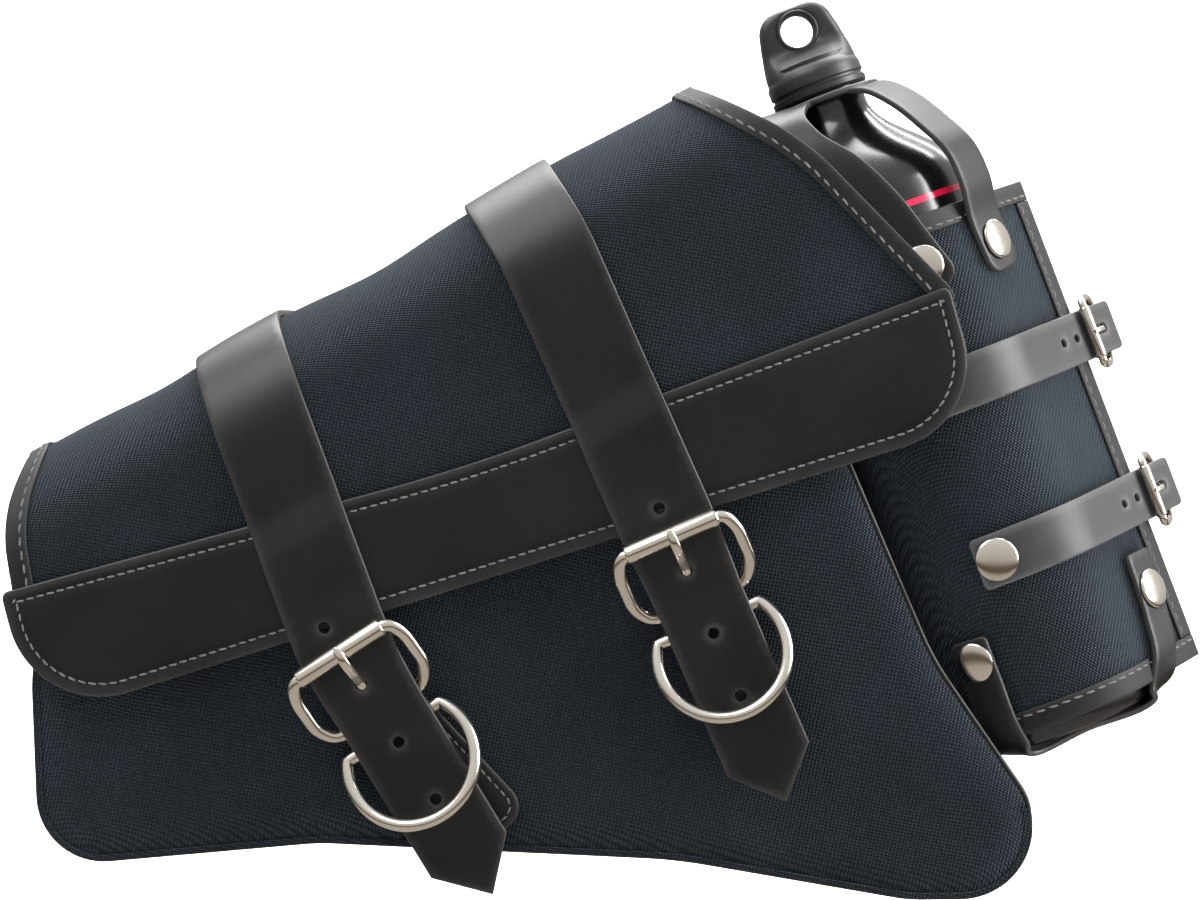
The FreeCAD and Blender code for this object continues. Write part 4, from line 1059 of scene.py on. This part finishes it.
def make_belt_chape(name, drop, bar):
    """The tab from the holder's back that carries a small buckle's bar."""
    back_out, back_along = facing(math.pi - FLAT_SIDE)
    gap = SLEEVE_RADIUS + 2.5
    start, bend = back_out * gap - back_along * 12, back_out * gap - back_along * 27
    towards = unit(bar - bend)
    side = np.array([-towards[1], towards[0]])
    turns = np.linspace(-math.pi / 2, math.pi / 2, 12)
    wrap = [bar + towards * math.cos(t) * 2.1 + side * math.sin(t) * 2.1 for t in turns]
    line = np.array([start, bend * 0.9 + start * 0.1, bend * 0.7 + bar * 0.3] + wrap
                    + [bend * 0.55 + bar * 0.45 + side * 2.0])
    reach = reach_along(line)

    def surface(flat):
        return bottle_point(np.column_stack([followed(line, reach, flat[:, 0]), flat[:, 1] - drop]))
    middle = float((reach[3] + reach[14]) / 2)
    loop = rectangle(0, float(reach[-1]), -9, 9, (2, 1, 1, 2), 1.5)
    slot = rectangle(middle - 4, middle + 4, -2, 2, (1.2, 1.2, 1.2, 1.2), 0.8)
    attach(sheet_piece("belt_tab_" + name, loop, 1.3, surface, [BELT_LEATHER_LIT], holes=[slot], step=1.8,
                       edge=0.5), "bag", "leather", "belt_chape_" + name)


# ---------------------------------------------------------------- straps at the neck and foot

def strap_along(name, centres, sides, width, round_end=6.0):
    """A leather strap along a smooth line in space; sides gives its width direction at each point."""
    reach = reach_along(centres)
    fine = np.linspace(0, reach[-1], 90)
    smooth = np.stack([spline(reach, column, fine) for column in centres.T], 1)
    turned_sides = unit(np.stack([spline(reach, column, fine) for column in sides.T], 1))

    def surface(flat):
        return followed(smooth, fine, flat[:, 1]) - followed(turned_sides, fine, flat[:, 1]) * flat[:, :1]
    loop = rectangle(-width / 2, width / 2, 0, float(fine[-1]), (2, 2, round_end, round_end), 1.6)
    return sheet_piece(name, loop, 2.4, surface, [LEATHER], step=2.2, edge=0.7)


def spline(at, values, fine):
    """A smooth curve through values, as a cubic with slopes taken from the neighbours."""
    slope = np.gradient(values, at)
    index = np.clip(np.searchsorted(at, fine) - 1, 0, len(at) - 2)
    gap = at[index + 1] - at[index]
    t = (fine - at[index]) / gap
    return ((2 * t ** 3 - 3 * t ** 2 + 1) * values[index] + (t ** 3 - 2 * t ** 2 + t) * gap * slope[index]
            + (-2 * t ** 3 + 3 * t ** 2) * values[index + 1] + (t ** 3 - t ** 2) * gap * slope[index + 1])


def make_neck_strap():
    """The collar round the neck and its arms: unsnapped, it stays on the bottle. The studs stay."""
    def collar_surface(flat):
        return bottle_point(np.column_stack([flat, np.full(len(flat), -2.7)]))
    attach(sheet_piece("neck_collar", circle(23.5, 72), 2.6, collar_surface, [LEATHER],
                       holes=[circle(16.9, 60)], step=2.2), "bottle", "leather", "neck_strap")
    # each arm's side of the holder, its stud's place across it, and its route: out, down, across
    arms = {
        "right": (FLAT_SIDE, 6.3, ["neck_strap_studs"],
                  [(17, 2.6, 0), (26.5, 5.6, 0.5), (34.5, 12.5, 1.0), (45, 27, 1.5), (52.0, 41, 2.4),
                   (52.4, 54, 3.6), (49.4, 68, 5.0), (48.9, 80, 6.2), (48.9, 91, 7.6)]),
        "front": (0.0, 8.5, [],
                  [(13, 2.6, -14.0), (24, 3.2, -18.5), (34, 8.0, -22.0), (42.5, 20, -19.0),
                   (47.4, 36, -8.0), (48.9, 54, 0.5), (48.9, 72, 6.0), (48.9, 90, 11.5)]),
    }
    for key, (angle, stud_across, nodes, route) in arms.items():
        out, across = facing(angle)
        centres = bottle_point([(*(out * o + across * a), -d) for o, d, a in route])
        heading = unit(np.gradient(centres, axis=0))
        wide = direction(bottle_point, (*across, 0))
        sides = unit(wide - heading * (heading @ wide)[:, None])
        attach(strap_along("neck_arm_" + key, centres, sides, 20.0), "bottle", "leather")
        stud = bottle_point([(*(out * 50.4 + across * stud_across), -79.0)])[0]
        dome("neck_stud_" + key, stud, direction(bottle_point, (*out, 0)), 8.0, *nodes)


def make_foot_strap():
    """The strap under the bottle, up both sides of the holder, with its two studs."""
    front, right = facing(math.radians(-32.0)), facing(FLAT_SIDE)
    foot_a, foot_b = front[0] * STRAP_SEAT, right[0] * STRAP_SEAT + right[1] * 22.0

    def toe(foot, side, inwards, aside):
        """A place below a foot, moved towards the bottle's axis and along the holder."""
        return foot - side[0] * inwards - side[1] * aside
    under = (toe(foot_a, front, 18, 0) + toe(foot_b, right, 18, 16)) * 0.5
    route = [(foot_a, -221.0), (foot_a, -240.0), (foot_a, -257.0), (toe(foot_a, front, 2.5, 0), -265.0),
             (toe(foot_a, front, 9.0, 0), -269.8), (under, -271.2), (toe(foot_b, right, 10.0, 14), -269.8),
             (toe(foot_b, right, 3.0, 11), -264.6), (toe(foot_b, right, 0.0, 7), -256.0),
             (toe(foot_b, right, 0.0, 2), -238.0), (foot_b, -214.0)]
    line = unit(foot_b - foot_a)
    below = np.array([line[1], -line[0]])
    below = below * (1.0 if below @ front[1] >= 0 else -1.0)
    flip = 1.0 if right[1] @ below > 0 else -1.0
    ways = [front[1]] * 4 + [below] * 3 + [right[1] * flip] * 4
    sides = np.array([direction(bottle_point, (*way, 0)) for way in ways])
    centres = bottle_point([(*spot, height) for spot, height in route])
    attach(strap_along("foot_strap_leather", centres, sides, 16.0, round_end=2.0),
           "bag", "leather", "bottom_strap")
    for key, out, foot, nodes in (("front", front[0], foot_a, ["bottom_strap_studs"]),
                                  ("right", right[0], foot_b, [])):
        stud = bottle_point([(*(foot + out * 1.4), -230.0)])[0]
        dome("foot_stud_" + key, stud, direction(bottle_point, (*out, 0)), 8.0, *nodes)


# ---------------------------------------------------------------- bottle and cap

def make_bottle():
    """The lacquered shell, one piece from base to mouth, and its hollow."""
    outline = [(0, -267.0), (30, -267.2), (36.5, -269.5), (40.5, -268.4), (42.6, -265.5), (43, -262),
               (43, -50.0)]
    outline += [(29.75 + 13.25 * math.cos(math.pi * share ** 1.15), -50.0 + 42.0 * share)
                for share in np.linspace(0.04, 1.0, 22)]
    outline += [(16.5, 11.6), (16.1, 12.0), (12.9, 12.0), (12.5, 11.6), (12.5, -11.5), (17.0, -18.0),
                (31.0, -31.5), (41.4, -50.0), (41.4, -262.0), (38.0, -265.1), (0, -265.4)]
    attach(turned("bottle_shell", outline, NECK, AXIS_UP, [LACQUER], 128, 32.0),
           "bottle", "bottle_shell", "bottle_wall", "bottle_base", "bottle_shoulder")


def make_cap():
    """The cap: a ribbed skirt, a shaped loop and the raised rim of its hole."""
    skirt = [(16.7, -0.4), (18.6, -0.4), (19.5, 0.6), (19.5, 2.6), (18.6, 3.2), (18.6, 4.2), (19.4, 4.8),
             (19.3, 8.4), (18.8, 10.0), (17.0, 12.5), (12.0, 15.0), (0, 16.0), (0, 14.2), (16.7, 14.2),
             (16.7, -0.4)]
    attach(turned("cap_skirt", skirt, NECK, AXIS_UP, [CAP_PLASTIC], 96, 38.0), "cap", "cap_plastic")
    loop = rounded([(-18.7, 6, 0), (18.7, 6, 0), (18.3, 14, 30), (16.2, 25, 40), (13.2, 37.6, 9),
                    (-13.2, 37.6, 9), (-16.2, 25, 40), (-18.3, 14, 30)], 1.3)
    hole_at = (0, 27.6)

    def surface(flat):
        return bottle_point(lifted(flat, 0.0))

    def foot(flat):
        """Extra half thickness: a round foot that thins to the loop, with a hollow under the hole."""
        around = np.sqrt(np.maximum(18.9 ** 2 - flat[:, 0] ** 2, 0)) - 5.2
        share = np.clip((22.5 - flat[:, 1]) / 15.0, 0, 1)
        return np.maximum(around, 0) * share * share * (3 - 2 * share)
    attach(sheet_piece("cap_loop", loop, 10.4, surface, [CAP_PLASTIC], holes=[circle(6.5, 36, hole_at)],
                       step=1.3, edge=3.0, swell=foot), "cap", "cap_plastic", "cap")
    for index, depth in enumerate((-5.0, 5.0)):
        line = bottle_point(lifted(circle(7.6, 56, hole_at), depth))
        attach(swept("cap_rim_%d" % index, line, circle(0.75, 12), [CAP_PLASTIC], closed=True),
               "cap", "cap_plastic")


# ---------------------------------------------------------------- nodes kept from the frame

def finish_nodes():
    """Give the CAD nodes that stay visible their own materials."""
    kept = {"back_stiffener": BOARD, "mount_eyelets": NICKEL, "bottle_ring": RING_RED, "cap_seal": SEAL}
    for node, material in kept.items():
        mesh = NODES[node].data
        mesh.materials.clear()
        mesh.materials.append(material)
        mesh.polygons.foreach_set("use_smooth", np.ones(len(mesh.polygons), bool))
        mesh.set_sharp_from_angle(angle=math.radians(35))


# ---------------------------------------------------------------- studio

def linked(obj):
    """The object, put in the scene."""
    bpy.context.scene.collection.objects.link(obj)
    return obj


def stage_plane(name, rows, material):
    """A stage surface between two rows, each a (y, z) place, hidden from mirror reflections."""
    half = 5.0
    (near_y, near_z), (far_y, far_z) = rows
    corners = [(-half, near_y, near_z), (half, near_y, near_z), (half, far_y, far_z), (-half, far_y, far_z)]
    mesh = bpy.data.meshes.new(name)
    mesh.from_pydata(corners, [], [(0, 1, 2, 3)])
    mesh.materials.append(material)
    obj = linked(bpy.data.objects.new(name, mesh))
    obj.visible_glossy = False


def area_light(name, place, target, size, power):
    """A soft box aimed at a point."""
    data = bpy.data.lights.new(name, "AREA")
    data.shape = "RECTANGLE"
    data.size, data.size_y = size
    data.energy = power
    lamp = linked(bpy.data.objects.new(name, data))
    lamp.location = place
    lamp.rotation_euler = (Vector(target) - Vector(place)).to_track_quat("-Z", "Y").to_euler()


def make_studio():
    """Camera, pale floor and backdrop, soft lights."""
    camera_data = bpy.data.cameras.new("camera")
    camera_data.lens, camera_data.sensor_width = 93.5, 36.0
    camera = linked(bpy.data.objects.new("camera", camera_data))
    camera.location = (0.0308, -1.298, 0.04235)
    camera.rotation_euler = (math.pi / 2, 0, 0)
    bpy.context.scene.camera = camera

    paper = plain_material("paper", (0.90, 0.90, 0.90), (0.93, 0.93, 0.93), 0.95, 3.0)
    floor_z, far = -0.165, 2.4
    stage_plane("floor", [(-5.0, floor_z), (far, floor_z)], paper)
    stage_plane("backdrop", [(far, floor_z), (far, 3.0)], paper)
    make_room()
    for light in (("key", (-0.80, -0.75, 1.40), (0.0, -0.05, 0.02), (1.2, 0.8), 18.0),
                  ("side", (1.40, -0.35, 0.60), (0.12, -0.05, 0.0), (0.6, 1.2), 34.0),
                  ("top", (0.05, 0.32, 1.20), (0.0, -0.05, 0.05), (1.6, 0.6), 36.0),
                  ("backdrop_wash", (0.0, 1.5, 1.5), (0.0, far, 0.1), (3.0, 0.6), 110.0)):
        area_light(*light)


def make_room():
    """Surroundings: a pale table, a dark band just under the horizon and a soft white ceiling."""
    world = bpy.data.worlds.new("studio")
    world.use_nodes = True
    tree = world.node_tree
    place, split, shift, ramp = [tree.nodes.new("ShaderNode" + kind)
                                 for kind in ("TexCoord", "SeparateXYZ", "Math", "ValToRGB")]
    background = tree.nodes["Background"]
    tree.links.new(place.outputs["Generated"], split.inputs[0])
    shift.operation = "MULTIPLY_ADD"
    shift.inputs[1].default_value = 0.5
    shift.inputs[2].default_value = 0.5
    tree.links.new(split.outputs["Z"], shift.inputs[0])
    fill_ramp(ramp, [(0.0, (0.62, 0.57, 0.50)), (0.28, (0.58, 0.52, 0.45)), (0.34, (0.10, 0.062, 0.035)),
                     (0.41, (0.13, 0.085, 0.05)), (0.47, (0.62, 0.59, 0.54)), (0.75, (0.86, 0.85, 0.83)),
                     (1.0, (0.92, 0.95, 1.0))])
    tree.links.new(shift.outputs[0], ramp.inputs["Fac"])
    tree.links.new(ramp.outputs["Color"], background.inputs["Color"])
    background.inputs["Strength"].default_value = 0.75
    bpy.context.scene.world = world
    bpy.context.scene.view_settings.view_transform = "Standard"


# ---------------------------------------------------------------- build

make_studio()
make_bag()
make_flap()
make_closures()
make_holder()
for belt_name, belt_drop in BELT_DROPS.items():
    make_belt(belt_name, belt_drop)
make_neck_strap()
make_foot_strap()
make_bottle()
make_cap()
finish_nodes()
